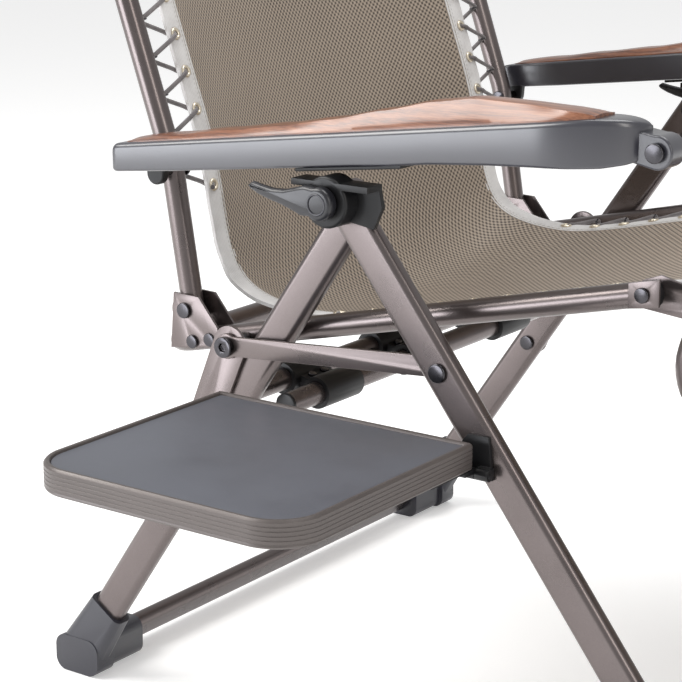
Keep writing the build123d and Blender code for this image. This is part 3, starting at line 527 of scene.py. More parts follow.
# ------------------------------------------------------------------ armrest casings
def casing(tag, s):
    xs = [-223.6 + d for d in (0, 0.5, 1.2, 2.4, 4.0, 6.0, 9.0)]
    x = -208.0
    while x < 186:
        xs.append(x)
        x += 9.0
    xs += [188 + 77 * math.sin(math.radians(3 * k)) for k in range(0, 31)]
    verts, faces = [], []
    for x in xs:
        lo, hi = lerp_pts(ARM_LOW, x), arm_top(x)
        t = max(0.0, (x - 222.0) / 43.2)
        hi -= 11.5 * (1 - math.sqrt(max(0.0, 1 - min(t, 1.0) ** 2)))
        e = min((x + 223.6) / 6.0, 1.0)
        shrink = 2.6 * (1 - math.sqrt(max(0.0, 1 - (1 - e) ** 2)))
        yo, yi = arm_out(x) - shrink, 296.2 + shrink
        hi, lo = hi - shrink, lo + shrink
        w, h = yo - yi, hi - lo
        top_r = min(5.2, w * 0.42)
        low_r = min(2.4, w * 0.3)
        ring = []
        for cy, cz, r, a0, n in ((yo - top_r, hi - top_r, top_r, 0, 9), (yi + min(3.0, w * .4), hi - min(3.0, w * .4), min(3.0, w * .4), 90, 6), (yi + low_r, lo + low_r, low_r, 180, 5), (yo - low_r, lo + low_r, low_r, 270, 5)):
            for k in range(n + 1):
                a = math.radians(a0 + 90 * k / n)
                ring.append((cy + r * math.cos(a), cz + r * math.sin(a)))
        for y, z in ring:
            verts.append(W(x, s * y, z))
    m = len(ring)
    for i in range(len(xs) - 1):
        for k in range(m):
            k2 = (k + 1) % m
            faces.append((i * m + k, i * m + k2, (i + 1) * m + k2, (i + 1) * m + k))
    faces.append(tuple(range(m)))
    faces.append(tuple((len(xs) - 1) * m + k for k in reversed(range(m))))
    o = obj_from("armrest_casing_" + tag + ".v", verts, faces, "charcoal_plastic", angle=50)
    bm = bmesh.new(); bm.from_mesh(o.data); bmesh.ops.recalc_face_normals(bm, faces=bm.faces); bm.to_mesh(o.data); bm.free()
    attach(o, "armrests")
    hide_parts("armrest_casing_" + tag)
    return o


def boss(name, outline, y0, y1, s, body, mat="charcoal_plastic", bev=0.0016):
    """A plate standing in the side plane: outline in (X, Z), between |y| = y0 and y1."""
    n = len(outline)
    verts = [W(x, s * y0, z) for x, z in outline] + [W(x, s * y1, z) for x, z in outline]
    faces = [tuple(range(n)), tuple(reversed(range(n, 2 * n)))]
    faces += [(k, (k + 1) % n, n + (k + 1) % n, n + k) for k in range(n)]
    o = obj_from(name, verts, faces, mat, angle=30)
    bm = bmesh.new(); bm.from_mesh(o.data); bmesh.ops.recalc_face_normals(bm, faces=bm.faces); bm.to_mesh(o.data); bm.free()
    bv = o.modifiers.new("edges", "BEVEL")
    bv.width, bv.segments, bv.limit_method, bv.angle_limit = bev, 3, "ANGLE", math.radians(40)
    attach(o, body)
    return o


def disc(c, r, n=40, a0=0.0, a1=360.0):
    m = n if a1 - a0 >= 360 else n + 1
    return [(c[0] + r * math.cos(math.radians(a0 + (a1 - a0) * k / n)), c[1] + r * math.sin(math.radians(a0 + (a1 - a0) * k / n))) for k in range(m)]


def cam_lever(tag, s):
    """Blade in the side plane: centre line, half width and depth change along it."""
    c = (8.0, 498.0)
    # outline round hub and blade, from the tip's top over the hub and back under
    top = [(-62.0, 507.0), (-58.5, 509.2), (-50.0, 507.4), (-38.0, 505.6), (-26.0, 506.2), (-14.0, 509.4), (-5.0, 511.8)]
    hub = [(c[0] + 13.6 * math.cos(math.radians(a)), c[1] + 13.6 * math.sin(math.radians(a))) for a in range(110, -131, -10)]
    low = [(-8.0, 487.2), (-18.0, 490.6), (-30.0, 494.0), (-42.0, 496.4), (-52.0, 499.2), (-60.0, 502.6), (-62.8, 505.0)]
    line = top + hub + low
    n = len(line)

    def inset(d):
        out = []
        for k in range(n):
            a, p, b = line[k - 1], line[k], line[(k + 1) % n]
            tx, tz = b[0] - a[0], b[1] - a[1]
            m = math.hypot(tx, tz)
            out.append((p[0] + tz / m * d, p[1] - tx / m * d))
        return out

    layers = []
    for d, y in ((2.6, 353.2), (0.9, 353.6), (0.0, 355.0), (0.0, 360.4), (0.5, 362.2), (1.5, 363.2), (3.0, 363.7)):
        layers.append([(x, y, z) for x, z in inset(d)])
    verts = [W(x, s * (y - (3.2 * max(0.0, min(1.0, (-6.0 - x) / 50.0)) if y > 358 else -1.2 * max(0.0, min(1.0, (-6.0 - x) / 50.0)))), z) for ly in layers for x, y, z in ly]
    faces = []
    for i in range(len(layers) - 1):
        for k in range(n):
            k2 = (k + 1) % n
            faces.append((i * n + k, i * n + k2, (i + 1) * n + k2, (i + 1) * n + k))
    faces.append(tuple(reversed(range(n))))
    faces.append(tuple((len(layers) - 1) * n + k for k in range(n)))
    o = obj_from("cam_lever_" + tag + ".v", verts, faces, "lever_plastic", angle=42)
    bm = bmesh.new(); bm.from_mesh(o.data); bmesh.ops.recalc_face_normals(bm, faces=bm.faces); bm.to_mesh(o.data); bm.free()
    body = "cam_lever_" + tag + "_body"
    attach(o, body)
    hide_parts("cam_lever_" + tag)
    # raised ring round the hub screw
    ring = torus_mesh("cam_lever_ring_" + tag, [(W(c[0], s * 363.6, c[1]), Vector((0, s, 0)), Vector((1, 0, 0)), Vector((0, 0, 1)))], 0.0082, 0.0009, "slate_plastic", 40, 8)
    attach(ring, body)


def torus_mesh(name, centres, R_, r_, mat, seg=20, ring=8):
    verts, faces = [], []
    for c, axis, e1, e2 in centres:
        base = len(verts)
        for k in range(seg):
            a = 2 * math.pi * k / seg
            d = e1 * math.cos(a) + e2 * math.sin(a)
            for q in range(ring):
                b = 2 * math.pi * q / ring
                verts.append(c + d * (R_ + r_ * math.cos(b)) + axis * (r_ * 0.75 * math.sin(b)))
        for k in range(seg):
            for q in range(ring):
                faces.append((base + k * ring + q, base + ((k + 1) % seg) * ring + q, base + ((k + 1) % seg) * ring + (q + 1) % ring, base + k * ring + (q + 1) % ring))
    o = obj_from(name, verts, faces, mat, angle=89)
    bm = bmesh.new(); bm.from_mesh(o.data); bmesh.ops.recalc_face_normals(bm, faces=bm.faces); bm.to_mesh(o.data); bm.free()
    return o


for s, tag in ((-1, "right"), (1, "left")):
    casing(tag, s)
    cam_lever(tag, s)
    ear = [(250, arm_top(250) - 10)] + [(J[0] + 13 * math.cos(math.radians(a)), J[1] + 13 * math.sin(math.radians(a))) for a in range(100, -101, -8)] + [(250, 551)]
    boss("arm_front_ear_" + tag, ear, 288.0, 311.5, s, "armrests")
    ear = [(-219, 506)] + [(K[0] + 9.5 * math.cos(math.radians(a)), K[1] + 9.5 * math.sin(math.radians(a))) for a in range(180, 361, 8)] + [(-197, 508)]
    boss("arm_rear_ear_" + tag, ear, 296.4, 304.5, s, "armrests", "black_plastic")


# ------------------------------------------------------------------ wooden arm tops
def crest(x):
    pts = [(-211.5, 527.0), (-160, 534.5), (-110, 543.0), (-50, 552.5), (0, 562.0), (50, 573.5), (95, 584.0), (132, 589.6), (175, 589.3), (210, 588.2), (235.5, 586.5)]
    for (x0, z0), (x1, z1) in zip(pts, pts[1:]):
        if x <= x1:
            t = (x - x0) / (x1 - x0)
            return z0 + (z1 - z0) * (t * t * (3 - 2 * t) * 0.35 + t * 0.65)
    return pts[-1][1]


for s, tag in ((-1, "right"), (1, "left")):
    verts, faces = [], []
    NX = 110
    for i in range(NX + 1):
        x = -211.3 + (235.3 + 211.3) * i / NX
        f = i / NX
        zb = arm_top(x) - 4.7
        zt = crest(x)
        d0, d1 = x + 211.3, 235.3 - x
        # both ends are eased over and drawn in
        e0 = math.sqrt(max(0.0, 1 - (1 - min(d0 / 26.0, 1)) ** 2))
        e1 = math.sqrt(max(0.0, 1 - (1 - min(d1 / 9.0, 1)) ** 2))
        zt = zb + 5.6 + max(zt - zb - 5.6, 1.0) * (0.25 + 0.75 * e0) * (0.55 + 0.45 * e1)
        hw = 19.6 * (0.80 + 0.20 * e0)
        ho = min(hw, arm_out(x) - 3.9 - 319.7)
        bulge = math.exp(-((x - 135) / 95.0) ** 2)
        flank = 5.0 + 4.5 * bulge + 1.5 * (1 - f)
        arris = hw - flank
        zs = zb + 5.6
        ring = [(-hw, zb), (-hw, zs)]
        for k in range(1, 6):
            w = k / 6
            ring.append((-hw + flank * w, zs + (zt - 0.9 - zs) * (w ** 0.82)))
        fo = flank * (1.0 if ho >= hw else max(0.12, 1 - (hw - ho) / 4.0))
        lo_, hi_ = -arris, ho - fo
        ring += [(lo_ + (hi_ - lo_) * k / 12, zt - 0.9 * (abs(-1 + 2 * k / 12)) ** 2.4) for k in range(13)]
        for k in range(5, 0, -1):
            w = k / 6
            ring.append((ho - fo * w, zs + (zt - 0.9 - zs) * (w ** 0.82)))
        ring += [(ho, zs), (ho, zb)]
        for y, z in ring:
            verts.append(W(x, s * (319.7 + y), z))
    m = len(ring)
    for i in range(NX):
        for k in range(m):
            k2 = (k + 1) % m
            faces.append((i * m + k, i * m + k2, (i + 1) * m + k2, (i + 1) * m + k))
    faces.append(tuple(range(m)))
    faces.append(tuple(NX * m + k for k in reversed(range(m))))
    o = obj_from("arm_wood_" + tag, verts, faces, "wood", angle=24)
    bm = bmesh.new()
    bm.from_mesh(o.data)
    bmesh.ops.recalc_face_normals(bm, faces=bm.faces)
    bm.to_mesh(o.data)
    bm.free()
    bv = o.modifiers.new("edges", "BEVEL")
    bv.width = 0.0010
    bv.segments = 3
    bv.limit_method = "ANGLE"
    bv.angle_limit = math.radians(26)
    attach(o, "armrests")
    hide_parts("armrest_wood_" + tag)

# ------------------------------------------------------------------ side table
TX0, TX1, TY0, TY1, TZ0, TZ1 = -107.0, 146.0, -344.0, -583.0, 301.0, 323.0


def outline(inset, n=14):
    x0, x1, y0, y1 = TX0 + inset, TX1 - inset, TY1 + inset, TY0 - inset
    ro, ri = max(39.0 - inset, 2.0), max(3.5 - inset, 1.5)
    out = []
    for cx, cy, r, a0 in ((x1 - ri, y1 - ri, ri, 0), (x0 + ri, y1 - ri, ri, 90), (x0 + ro, y0 + ro, ro, 180), (x1 - ro, y0 + ro, ro, 270)):
        for k in range(n + 1):
            a = math.radians(a0 + 90 * k / n)
            out.append((cx + r * math.cos(a), cy + r * math.sin(a)))
    return out


# rim: a ribbed moulding carried round the outline; each entry is (inset, z)
prof = [(5.2, TZ1 - 1.6), (4.6, TZ1 - 0.5), (3.4, TZ1), (1.8, TZ1 - 0.2), (0.7, TZ1 - 1.2)]
z = TZ1 - 2.2
while z > TZ0 + 3.4:
    prof += [(0.0, z), (0.0, z - 2.3), (0.38, z - 2.6), (0.38, z - 3.1)]
    z -= 3.4
prof += [(0.0, TZ0 + 2.0), (0.8, TZ0 + 0.6), (2.2, TZ0), (5.2, TZ0), (5.2, TZ0 + 2.8)]
rings = [outline(i) for i, _ in prof]
cnt = len(rings[0])
verts, faces = [], []
for (ins, z), ring in zip(prof, rings):
    for x, y in ring:
        verts.append(W(x, y, z))
for a in range(len(prof)):
    b = (a + 1) % len(prof)
    for k in range(cnt):
        k2 = (k + 1) % cnt
        faces.append((a * cnt + k, a * cnt + k2, b * cnt + k2, b * cnt + k))
o = obj_from("table_rim.v", verts, faces, "table_edge", angle=30)
bm = bmesh.new(); bm.from_mesh(o.data); bmesh.ops.recalc_face_normals(bm, faces=bm.faces); bm.to_mesh(o.data); bm.free()
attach(o, "side_table"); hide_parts("table_rim")

prof = [(5.4, TZ0 + 3.2), (5.4, TZ1 - 3.0), (5.9, TZ1 - 2.2), (7.0, TZ1 - 2.0)]
rings = [outline(i) for i, _ in prof]
verts, faces = [], []
for (ins, z), ring in zip(prof, rings):
    for x, y in ring:
        verts.append(W(x, y, z))
for a in range(len(prof) - 1):
    for k in range(cnt):
        k2 = (k + 1) % cnt
        faces.append((a * cnt + k, a * cnt + k2, (a + 1) * cnt + k2, (a + 1) * cnt + k))
faces.append(tuple((len(prof) - 1) * cnt + k for k in range(cnt)))
faces.append(tuple(reversed(range(cnt))))
o = obj_from("table_board.v", verts, faces, "table_top", angle=40)
bm = bmesh.new(); bm.from_mesh(o.data); bmesh.ops.recalc_face_normals(bm, faces=bm.faces); bm.to_mesh(o.data); bm.free()
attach(o, "side_table"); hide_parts("table_board")

# ------------------------------------------------------------------ sling
EDGE = [(-392.0, 1008), (-376, 965), (-359.7, 920), (-344, 875), (-328, 830), (-312, 785), (-296.4, 740), (-280.5, 695), (-264.7, 650), (-250.6, 610), (-236.6, 570),
        (-224, 535), (-213, 500), (-205.5, 465), (-199.0, 432), (-191.5, 407), (-180.0, 388.5), (-162, 377), (-138, 370.5), (-110, 367.5), (-85, 368), (-60, 371.5), (-30, 377.5), (0, 384.5), (30, 391.5),
        (60, 398.6), (90, 405.7), (120, 412.7), (150, 419.7), (180, 426.8), (205, 432.7), (230, 438.5), (255, 444.0), (276, 446.5), (295, 443), (315, 432), (340, 416), (370, 397),
        (400, 378), (430, 359), (460, 339.5), (490, 320), (520, 300.5), (548, 282)]
SAG = [24, 34, 38, 40, 40, 40, 40, 40, 41, 42, 42,
       42, 40, 36, 30, 24, 22, 24, 28, 32, 34, 36, 38, 40, 40,
       40, 38, 35, 31, 27, 23, 19, 15, 12, 10, 12, 15, 18,
       20, 21, 21, 19, 15, 10]


def resample(pts, extra, step):
    P3 = [Vector((p[0], p[1], e)) for p, e in zip(pts, extra)]
    # Catmull-Rom through the points, then even spacing
    dense = []
    for i in range(len(P3) - 1):
        p0, p1, p2, p3 = P3[max(i - 1, 0)], P3[i], P3[i + 1], P3[min(i + 2, len(P3) - 1)]
        for k in range(12):
            t = k / 12
            dense.append(0.5 * ((2 * p1) + (p2 - p0) * t + (2 * p0 - 5 * p1 + 4 * p2 - p3) * t * t + (3 * p1 - p0 - 3 * p2 + p3) * t ** 3))
    dense.append(P3[-1])
    d = [0.0]
    for a, b in zip(dense, dense[1:]):
        d.append(d[-1] + math.hypot(b.x - a.x, b.y - a.y))
    n = int(round(d[-1] / step))
    out, j = [], 0
    for i in range(n + 1):
        s = d[-1] * i / n
        while j < len(d) - 2 and d[j + 1] < s:
            j += 1
        t = (s - d[j]) / max(d[j + 1] - d[j], 1e-9)
        out.append(dense[j].lerp(dense[j + 1], min(max(t, 0), 1)))
    return out, d[-1]


ROWS, LENGTH = resample(EDGE, SAG, 7.5)
NR = len(ROWS)


FOLD = (-112.0, 334.0)


def row_normal(i):
    """Unit normal of the edge line on the sitter's side, in (X, Z)."""
    a, b = ROWS[max(i - 1, 0)], ROWS[min(i + 1, NR - 1)]
    tx, tz = b.x - a.x, b.y - a.y
    d = math.hypot(tx, tz)
    return (-tz / d, tx / d)


HALF = 218.0
NC = 56


def sheet_point(i, v):
    r = ROWS[i]
    nx, nz = row_normal(i)
    bow = (1 - abs(v) ** 2.2)
    sag = r.z * bow
    x, z = r.x - nx * sag, r.y - nz * sag
    # away from the edges the low bend is pulled to a crisp fold
    d = math.hypot(r.x + 150.0, r.y - 374.0)
    if d < 110.0:
        g = (1 - (d / 110.0) ** 2) ** 2 * min(1.0, (1 - abs(v)) / 0.30) ** 0.8
        x -= 7.0 * g * max(0.0, 1 - d / 60.0)
        z -= 12.0 * g * max(0.0, 1 - d / 60.0)
    return (x, v * HALF, z)


verts, faces, uvs = [], [], []
for i in range(NR):
    for j in range(NC + 1):
        v = -1 + 2 * j / NC
        x, y, z = sheet_point(i, v)
        verts.append(W(x, y, z))
        uvs.append((i * LENGTH / (NR - 1) / 1000.0, (v * HALF) / 1000.0 + 0.3))
for i in range(NR - 1):
    for j in range(NC):
        a = i * (NC + 1) + j
        faces.append((a, a + 1, a + NC + 2, a + NC + 1))
sheet = obj_from("sheet_work", verts, faces, "mesh", uvs)

vg = sheet.vertex_groups.new(name="pin")
pinned = [i * (NC + 1) + j for i in range(NR) for j in range(NC + 1) if j in (0, NC) or i in (0, NR - 1)]
vg.add(pinned, 1.0, "REPLACE")
cl = sheet.modifiers.new("cloth", "CLOTH")
st = cl.settings
st.quality = 7
st.mass = 0.35
st.tension_stiffness = 60
st.compression_stiffness = 40
st.shear_stiffness = 20
st.bending_stiffness = 0.35
st.tension_damping = 15
st.compression_damping = 15
st.shear_damping = 15
st.vertex_group_mass = "pin"
st.air_damping = 2.0
cl.collision_settings.use_collision = False
cl.collision_settings.use_self_collision = False
sc = bpy.context.scene
sc.frame_start, sc.frame_end = 1, 22
cl.point_cache.frame_start, cl.point_cache.frame_end = 1, 22
for f in range(1, 23):
    sc.frame_set(f)
dg = bpy.context.evaluated_depsgraph_get()
ev = sheet.evaluated_get(dg).to_mesh()
co = np.zeros(len(ev.vertices) * 3, np.float32)
ev.vertices.foreach_get("co", co)
sheet.modifiers.clear()
sheet.data.vertices.foreach_set("co", co)
sheet.data.update()
sc.frame_set(1)

# even ripples near the lacing, as the eyelets pull the edge
SHEET = np.array([v.co for v in sheet.data.vertices], float).reshape(NR, NC + 1, 3)
bpy.data.objects.remove(sheet)
PITCH = 34.5
for i in range(NR):
    s = i * LENGTH / (NR - 1)
    nx, nz = row_normal(i)
    for j in range(NC + 1):
        v = abs(-1 + 2 * j / NC)
        if v > 0.72:
            w = ((v - 0.72) / 0.28) * (1 - ((v - 0.72) / 0.28) ** 4) * 0.9
            a = w * 0.0007 * math.cos(2 * math.pi * s / PITCH)
            SHEET[i, j, 0] += nx * a
            SHEET[i, j, 2] += nz * a


def row_at(x=None, z=None, lo=0, hi=None):
    hi = NR if hi is None else hi
    best = min(range(lo, hi), key=lambda i: abs(ROWS[i].x - x) if x is not None else abs(ROWS[i].y - z))
    return best


low = min(range(NR // 3, NR * 2 // 3), key=lambda i: abs(ROWS[i].x + 182))
r_back = min(range(NR), key=lambda i: (ROWS[i].x + 182) ** 2 + (ROWS[i].y - 391) ** 2)
r_mid = min(range(NR), key=lambda i: (ROWS[i].x - 60) ** 2 + (ROWS[i].y - 398) ** 2)
r_front = min(range(NR), key=lambda i: (ROWS[i].x - 292) ** 2 + (ROWS[i].y - 444) ** 2)
SPLITS = [
    ("back", 0, r_back, ("back_pins", "back_frame"), (-182, 391), (-206, 462)),
    ("seat_rear", r_back, r_mid, ("back_pins", "seat_frame"), (-182, 391), (-112, 367)),
    ("seat_front", r_mid, r_front, ("seat_frame", "foot_pins"), (215, 435), (290, 444)),
    ("foot", r_front, NR - 1, ("foot_pins", "footrest"), (292, 444), (360, 403)),
]
REPL = {"back": ["back_sling"], "seat_rear": ["seat_sling"], "seat_front": [], "foot": ["foot_sling"]}


def blended(o):
    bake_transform(o)


def grid_piece(name, r0, r1, pts, uvf, mat, thick):
    """A sheet from rows r0..r1 of pts with thickness, closed all round."""
    rows, cols = r1 - r0 + 1, pts.shape[1]
    # normals from the whole surface so that neighbouring pieces meet without a step
    du = np.gradient(pts, axis=0)
    dv = np.gradient(pts, axis=1)
    nrm = np.cross(dv, du)
    nrm /= np.linalg.norm(nrm, axis=2, keepdims=True) + 1e-12
    verts, uvs = [], []
    for sgn in (0.5, -0.5):
        for i in range(r0, r1 + 1):
            for j in range(cols):
                p = pts[i, j] + nrm[i, j] * thick * sgn
                verts.append(tuple(p))
                uvs.append(uvf(i, j))
    faces = []
    off = rows * cols
    for i in range(rows - 1):
        for j in range(cols - 1):
            a = i * cols + j
            faces.append((a, a + 1, a + cols + 1, a + cols))
            faces.append((off + a, off + a + cols, off + a + cols + 1, off + a + 1))
    ring = [j for j in range(cols)] + [i * cols + cols - 1 for i in range(1, rows)] + [(rows - 1) * cols + j for j in range(cols - 2, -1, -1)] + [i * cols for i in range(rows - 2, 0, -1)]
    for k in range(len(ring)):
        a, b = ring[k], ring[(k + 1) % len(ring)]
        faces.append((a, off + a, off + b, b))
    o = obj_from(name, verts, faces, mat, uvs, angle=60)
    bm = bmesh.new(); bm.from_mesh(o.data); bmesh.ops.recalc_face_normals(bm, faces=bm.faces); bm.to_mesh(o.data); bm.free()
    return o, nrm


for name, r0, r1, bodies, a, b in SPLITS:
    o, nrm = grid_piece("sling_" + name, r0, r1, SHEET, lambda i, j: (i * LENGTH / (NR - 1) / 1000.0, j * 2 * HALF / NC / 1000.0), "mesh", 0.0014)
    blended(o)
    if REPL[name]:
        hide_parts(*REPL[name])

# binding: a folded tape along each long edge, stitched, with an eyelet every pitch
BW = 23.0
BN = 10


def binding_points(s):
    pts = np.zeros((NR, BN + 1, 3))
    for i in range(NR):
        r = ROWS[i]
        nx, nz = row_normal(i)
        arc = i * LENGTH / (NR - 1)
        for j in range(BN + 1):
            t = j / BN
            y = 215.0 + BW * t
            scallop = 0.9 * (0.5 - 0.5 * math.cos(2 * math.pi * arc / PITCH)) * t ** 2
            lift = -2.2 * (1 - t) ** 2 + 0.6
            p = W(r.x + nx * lift, s * (y - scallop), r.y + nz * lift)
            pts[i, j] = (p.x, p.y, p.z)
    return pts


for name, r0, r1, bodies, a, b in SPLITS:
    parts = []
    for s in (-1, 1):
        pts = binding_points(s)
        o, _ = grid_piece(f"bind_{s}", r0, r1, pts, lambda i, j: (i * LENGTH / (NR - 1) / 1000.0, j * BW / BN / 1000.0), "binding", 0.0032)
        parts.append(o)
    o = merge("binding_" + name, parts)
    blended(o)
    if name == "back":
        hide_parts("back_binding")
    if name == "seat_rear":
        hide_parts("seat_binding")
    # two rows of stitches per edge
    st_parts = []
    step = 4.4
    v_, f_ = [], []
    total = LENGTH * (r1 - r0) / (NR - 1)
    nst = int(total / step)
    for s in (-1, 1):
        for yy in (217.2, 220.6):
            for k in range(nst):
                arc = r0 * LENGTH / (NR - 1) + (k + 0.5) * step
                i = arc / (LENGTH / (NR - 1))
                i0 = min(int(i), NR - 2)
                fr = i - i0
                ra, rb = ROWS[i0], ROWS[i0 + 1]
                x, z = ra.x + (rb.x - ra.x) * fr, ra.y + (rb.y - ra.y) * fr
                nx, nz = row_normal(i0)
                tx, tz = nz, -nx
                t = (yy - 215.0) / BW
                lift = -2.2 * (1 - t) ** 2 + 0.6 + 1.75
                base = len(v_)
                for da, dy, dn in ((-1.5, 0, -0.3), (-0.7, -0.32, 0.15), (-0.7, 0.32, 0.15), (0.7, -0.32, 0.15), (0.7, 0.32, 0.15), (1.5, 0, -0.3)):
                    v_.append(W(x + tx * da + nx * (lift + dn), s * (yy + dy), z + tz * da + nz * (lift + dn)))
                f_ += [(base, base + 2, base + 1), (base + 1, base + 2, base + 4, base + 3), (base + 3, base + 4, base + 5)]
    o = obj_from("stitches_" + name, v_, f_, "thread", angle=80)
    blended(o)

# eyelets and lacing
def frame_at(arc):
    i = arc / (LENGTH / (NR - 1))
    i0 = min(max(int(i), 0), NR - 2)
    fr = i - i0
    ra, rb = ROWS[i0], ROWS[i0 + 1]
    nx, nz = row_normal(i0)
    nx2, nz2 = row_normal(i0 + 1)
    nx, nz = nx + (nx2 - nx) * fr, nz + (nz2 - nz) * fr
    return ra.x + (rb.x - ra.x) * fr, ra.y + (rb.y - ra.y) * fr, nx, nz


ARC_BACK0 = 6.0
arcs = []
a = 17.0
while a < LENGTH - 6:
    arcs.append(a)
    a += PITCH


def arc_of(row):
    return row * LENGTH / (NR - 1)


A_BACK = arc_of(r_back)
A_FRONT = arc_of(r_front)
groups = {"back_frame": [], "seat_frame": [], "footrest": []}
for a in arcs:
    x, z, nx, nz = frame_at(a)
    if a < A_BACK and z > 452:
        groups["back_frame"].append(a)
    elif A_BACK < a < A_FRONT and -118 < x < 205:
        groups["seat_frame"].append(a)
    elif a > A_FRONT and x > 352:
        groups["footrest"].append(a)

for body, lst in groups.items():
    cs = []
    for s in (-1, 1):
        for a in lst:
            x, z, nx, nz = frame_at(a)
            n = Vector((nx, 0, nz)).normalized()
            t = Vector((n.z, 0, -n.x))
            for up in (2.4, -1.2):
                cs.append((W(x + nx * up, s * 228.5, z + nz * up), n, t, Vector((0, 1, 0))))
    o = torus_mesh("eyelets_" + body, cs, 0.0041, 0.0017, "brass")
    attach(o, body)


def smooth_path(pts, n=6):
    out = []
    for i in range(len(pts) - 1):
        p0, p1, p2, p3 = pts[max(i - 1, 0)], pts[i], pts[i + 1], pts[min(i + 2, len(pts) - 1)]
        for k in range(n):
            t = k / n
            out.append(0.5 * ((2 * p1) + (p2 - p0) * t + (2 * p0 - 5 * p1 + 4 * p2 - p3) * t * t + (3 * p1 - p0 - 3 * p2 + p3) * t ** 3))
    out.append(pts[-1])
    return out


def lace(name, s, body, lst, tube_y, tube_of=None):
    """Elastic cord from eyelet to eyelet, caught between each pair by an eye on the tube's inner face."""
    pts, eyes = [], []
    inner = tube_y - TUBE_R
    hi = 2.4 if body == "seat_frame" else 4.6

    def at(a, y, up):
        x, z, nx, nz = frame_at(a)
        return W(x + nx * up, s * y, z + nz * up)

    for k, a in enumerate(lst):
        pts += [at(a - 2.0, 233.0, -3.4), at(a, 228.6, 0.0), at(a + 2.0, 233.0, hi)]
        if k == len(lst) - 1:
            break
        b = lst[k + 1]
        h = a + (b - a) * 0.52
        x, z, nx, nz = frame_at(h)
        if tube_of:
            x, z = tube_of(h)
        n, e = Vector((nx, 0, nz)).normalized(), Vector((nz, 0, -nx)).normalized()
        eye = W(x, s * (inner - 2.4), z)
        out = Vector((0, s, 0)) * 0.001
        edge = at(a + (b - a) * 0.16, 239.5, hi - 0.4)
        back = at(b - (b - a) * 0.16, 239.5, -4.0)
        pts += [edge, eye + n * 0.0026 - e * 0.0016, eye + out * 1.6, eye - n * 0.0026 + e * 0.0016, back]
        eyes.append((eye, Vector((0, 0, 0)), n, Vector((0, s, 0))))
    o = sweep(name, smooth_path(pts, 5), circle(0.0021, 10), "cord", angle=89)
    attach(o, body)
    # each eye is a wire staple standing on the tube
    segs = []
    for c, _, n, e in eyes:
        segs.append((c + n * 0.0001, e.cross(n).normalized(), n, e))
    st = torus_mesh(name + "_eyes", segs, 0.0036, 0.0009, "steel", 16, 6)
    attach(st, body)
    return o


for s, tag in ((-1, "right"), (1, "left")):
    o1 = lace("lacing_back_" + tag, s, "back_frame", [a for a in groups["back_frame"] if frame_at(a)[1] < 985], Y_TUBE)
    o2 = lace("lacing_seat_" + tag, s, "seat_frame", [a for a in groups["seat_frame"]], Y_TUBE)
    if s < 0:
        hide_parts("back_lacing")
        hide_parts("seat_lacing")


def foot_tube(a):
    """Point of the footrest's side tube that a cord at this arc reaches."""
    x, z, nx, nz = frame_at(a)
    (x0, z0), (x1, z1) = FP[2], FP[3]
    d = math.hypot(x1 - x0, z1 - z0)
    ux, uz = (x1 - x0) / d, (z1 - z0) / d
    t = max(60.0, min((x - x0) * ux + (z - z0) * uz, d - 60.0))
    return (x0 + ux * t, z0 + uz * t)


for s, tag in ((-1, "right"), (1, "left")):
    lst = [a for a in groups["footrest"] if frame_at(a)[0] > 430]
    lace("lacing_foot_" + tag, s, "footrest", lst, Y_FOOT, foot_tube)

